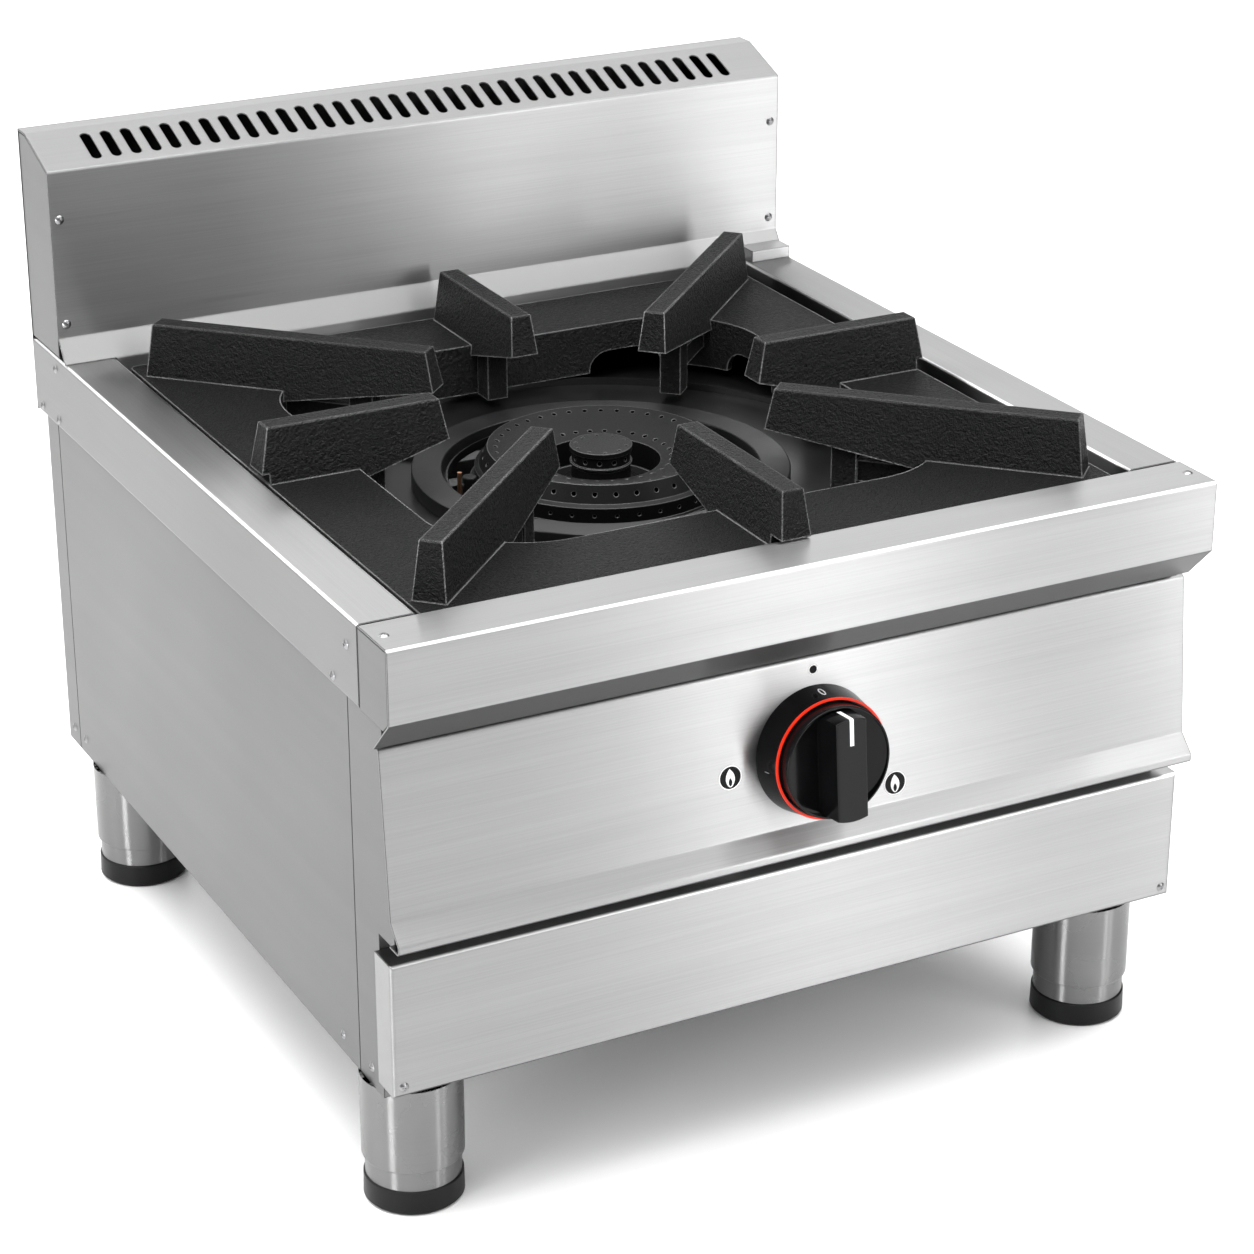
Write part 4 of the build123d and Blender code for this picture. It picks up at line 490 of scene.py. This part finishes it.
# ---- marks on the knob's skirt -----------------------------------------------------
SKIRT_RADIUS = 44.0
SKIRT_FRONT_RADIUS = 41.0
SKIRT_HEIGHT = 20.0
ZERO_HEIGHT = 10.5
ZERO_OUTER = (1.9, 4.4)
ZERO_INNER = (1.05, 3.5)
TICK_HEIGHT = 11.0
TICK_TURN = math.radians(95)
TICK = (0.35, 2.4)


def on_skirt(angle, height):
    """A frame on the conical skirt: X round it, Y towards the panel, Z out of it."""
    draft = SKIRT_RADIUS - SKIRT_FRONT_RADIUS
    radius = SKIRT_RADIUS - draft * height / SKIRT_HEIGHT
    turn = Matrix.Rotation(angle, 4, "Z")
    lean = Matrix.Rotation(math.atan2(draft, SKIRT_HEIGHT) - math.pi / 2, 4, "X")
    return PANEL @ turn @ Matrix.Translation((0, radius, height)) @ lean


print_mark("zero_mark", [oval(0, 0, *ZERO_OUTER), oval(0, 0, *ZERO_INNER)], WHITE,
           -PRINT / 2, PRINT, on_skirt(0, ZERO_HEIGHT))
print_mark("left_tick", [oval(0, 0, *TICK)], FAINT,
           -PRINT / 2, PRINT, on_skirt(TICK_TURN, TICK_HEIGHT))

# ---- pointer line on the knob's grip -------------------------------------------------
POINTER_HALF_WIDTH = 1.45
POINTER_START = 31.0
POINTER_RUN = 18.0
GRIP_END = 35.0
GRIP_FRONT = 47.0
GRIP_EDGE = 1.0
EDGE_STEPS = 6


def pointer_path():
    """Points and outward directions, over the grip's end, its front edge and its face."""
    path = [(Vector((GRIP_END, POINTER_START)), Vector((1, 0)))]
    corner = Vector((GRIP_END - GRIP_EDGE, GRIP_FRONT - GRIP_EDGE))
    for step in range(EDGE_STEPS + 1):
        turn = math.pi / 2 * step / EDGE_STEPS
        out = Vector((math.cos(turn), math.sin(turn)))
        path.append((corner + GRIP_EDGE * out, out))
    path.append((Vector((GRIP_END - POINTER_RUN, GRIP_FRONT)), Vector((0, 1))))
    return path


def pointer(made):
    """A ribbon that lies half in the grip and half on it."""
    rows = []
    for point, out in pointer_path():
        row = []
        for x, lift in ((-1, -1), (1, -1), (1, 1), (-1, 1)):
            y, z = point + lift * PRINT * out
            row.append(made.verts.new(PANEL @ Vector((x * POINTER_HALF_WIDTH, y, z))))
        rows.append(row)
    for low, high in zip(rows, rows[1:]):
        join_rings(made, low, high)
    made.faces.new(rows[0])
    made.faces.new(rows[-1])


piece("knob_pointer", pointer, WHITE, "knob_turn")

# ---- pressed hoods over the rear panel's slots, in metres ------------------------------
LOUVRES_PER_SIDE = 7
LOUVRE_PITCH = 0.020
LOUVRE_TOP_DROP = 0.080
LOUVRE_SIDE = 0.090
HOOD_HALF_LENGTH = 0.063
HOOD_HEIGHT = 0.013
HOOD_BELOW = 0.45       # share of the height below the middle of the slot
HOOD_DEPTH = 0.0055
HOOD_SHEET = 0.0008
HOOD_ENDS = 6           # a higher power squares the ends
HOOD_STEPS = 16
HOOD_RISES = 6


def hood(made, x, y, z):
    """One pressed hood: closed above and at its ends, open below."""
    rows = []
    for rise in range(HOOD_RISES + 1):
        turn = math.pi / 2 * rise / HOOD_RISES
        height = z + HOOD_HEIGHT * (math.cos(turn) - HOOD_BELOW)
        row = []
        for step in range(HOOD_STEPS + 1):
            along = 2 * step / HOOD_STEPS - 1
            out = HOOD_DEPTH * math.sin(turn) * math.sqrt(1 - along ** HOOD_ENDS)
            row.append(made.verts.new((x + along * HOOD_HALF_LENGTH, y + out, height)))
        rows.append(row)
    for low, high in zip(rows, rows[1:]):
        for i in range(HOOD_STEPS):
            made.faces.new([low[i], low[i + 1], high[i + 1], high[i]])


def louvres(made):
    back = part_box("rear_panel")[1]
    for side in (-1, 1):
        for row in range(LOUVRES_PER_SIDE):
            hood(made, side * LOUVRE_SIDE, back.y,
                 back.z - LOUVRE_TOP_DROP - row * LOUVRE_PITCH)
    bmesh.ops.solidify(made, geom=made.faces[:], thickness=HOOD_SHEET)


piece("rear_louvres", louvres, SHEET, "cabinet")


# ---- floor -----------------------------------------------------------------------------
FLOOR_REACH = 200


def floor_white():
    mat, tree, shader = material("floor_white")
    speck = noise(tree, coords(tree), 3.0)
    tree.links.new(blend_colour(tree, speck, grey(0.9), grey(0.92)), shader.inputs["Base Color"])
    tree.links.new(ramp(tree, speck, 0.3, 0.34), shader.inputs["Roughness"])
    shader.inputs["Specular IOR Level"].default_value = 0.35
    return mat


def lay_floor():
    mesh = bpy.data.meshes.new("floor")
    corners = [(x * FLOOR_REACH, y * FLOOR_REACH, 0)
               for x, y in ((-1, -1), (1, -1), (1, 1), (-1, 1))]
    mesh.from_pydata(corners, [], [range(4)])
    mesh.materials.append(floor_white())
    floor = bpy.data.objects.new("floor", mesh)
    SCENE.collection.objects.link(floor)


lay_floor()


# ---- light -----------------------------------------------------------------------------
SKY_LEVELS = ((0.0, 0.35), (0.15, 0.5), (0.4, 2.9), (1.0, 1.3))
SKY_STRENGTH = 0.85
RIGHT_DIM, RIGHT_FADE = 0.08, (0.62, 0.8)
FRONT_DIM, FRONT_FADE = 0.12, (0.6, 0.85)
TOWARDS_CAMERA = (-0.46, -0.886, 0)


def sky_colour(tree, height):
    """The sky's level at each height, from the horizon to the zenith."""
    sky = tree.nodes.new("ShaderNodeValToRGB")
    stops = sky.color_ramp.elements
    while len(stops) < len(SKY_LEVELS):
        stops.new(0.5)
    for stop, (place, level) in zip(stops, SKY_LEVELS):
        stop.position = place
        stop.color = (*grey(level), 1)
    tree.links.new(height, sky.inputs["Fac"])
    return sky.outputs["Color"]


def studio_world():
    """Soft sky that is dim at the horizon, at the range's right and behind the camera."""
    world = bpy.data.worlds.new("studio")
    SCENE.world = world
    world.use_nodes = True
    tree = world.node_tree
    tree.nodes.clear()
    out = tree.nodes.new("ShaderNodeOutputWorld")
    back = tree.nodes.new("ShaderNodeBackground")
    tree.links.new(back.outputs[0], out.inputs[0])
    way = tree.nodes.new("ShaderNodeTexCoord").outputs["Generated"]
    split = tree.nodes.new("ShaderNodeSeparateXYZ")
    tree.links.new(way, split.inputs[0])
    right = ramp(tree, split.outputs["X"], 1.0, RIGHT_DIM, RIGHT_FADE)
    front = ramp(tree, dot(tree, way, TOWARDS_CAMERA), 1.0, FRONT_DIM, FRONT_FADE)
    shade = tree.nodes.new("ShaderNodeMix")
    shade.data_type = "RGBA"
    shade.blend_type = "MULTIPLY"
    shade.inputs["Factor"].default_value = 1.0
    tree.links.new(sky_colour(tree, split.outputs["Z"]), shade.inputs[COLOUR_A])
    tree.links.new(calculate(tree, "MULTIPLY", right, front), shade.inputs[COLOUR_B])
    tree.links.new(shade.outputs[COLOUR_OUT], back.inputs["Color"])
    back.inputs["Strength"].default_value = SKY_STRENGTH


def aim(obj, way):
    obj.rotation_euler = way.to_track_quat("-Z", "Y").to_euler()
    SCENE.collection.objects.link(obj)


def area(name, place, target, size, power):
    """A rectangular light that looks at a height on the range's middle line."""
    data = bpy.data.lights.new(name, "AREA")
    data.shape = "RECTANGLE"
    data.size, data.size_y = size
    data.energy = power
    obj = bpy.data.objects.new(name, data)
    obj.location = place
    aim(obj, Vector((0, 0, target)) - Vector(place))


studio_world()
area("overhead", (-0.5, -0.3, 3.0), target=0.3, size=(2.2, 2.2), power=115)
area("fold_light", (1.3, -0.3, 2.9), target=0.4, size=(0.9, 1.6), power=30)
area("side_fold_light", (-1.2, 2.3, 1.6), target=0.4, size=(0.9, 0.7), power=7)
area("strip_a", (2.04, -4.09, 0.9), target=0.4, size=(0.45, 1.8), power=24)
area("strip_b", (1.55, -1.99, 0.8), target=0.4, size=(0.14, 1.5), power=6)
area("left", (-3.2, 0.4, 1.2), target=0.3, size=(1.2, 1.6), power=5)
area("leg_strip", (-2.7, -1.25, 0.35), target=0.1, size=(0.5, 0.7), power=26)

# ---- camera, fitted to the photo -------------------------------------------------------
CAMERA_PLACE = (-1.012, -1.991117, 1.2257)
CAMERA_HEADING = math.radians(27.54)
CAMERA_DIP = math.radians(23.52)
CAMERA_LENS = 96.94
SENSOR_WIDTH = 36.0


def place_camera():
    data = bpy.data.cameras.new("camera")
    data.sensor_fit = "HORIZONTAL"
    data.sensor_width = SENSOR_WIDTH
    data.lens = CAMERA_LENS
    camera = bpy.data.objects.new("camera", data)
    camera.location = CAMERA_PLACE
    level = math.cos(CAMERA_DIP)
    aim(camera, Vector((math.sin(CAMERA_HEADING) * level, math.cos(CAMERA_HEADING) * level,
                        -math.sin(CAMERA_DIP))))
    SCENE.camera = camera


place_camera()
SCENE.view_settings.view_transform = "Standard"
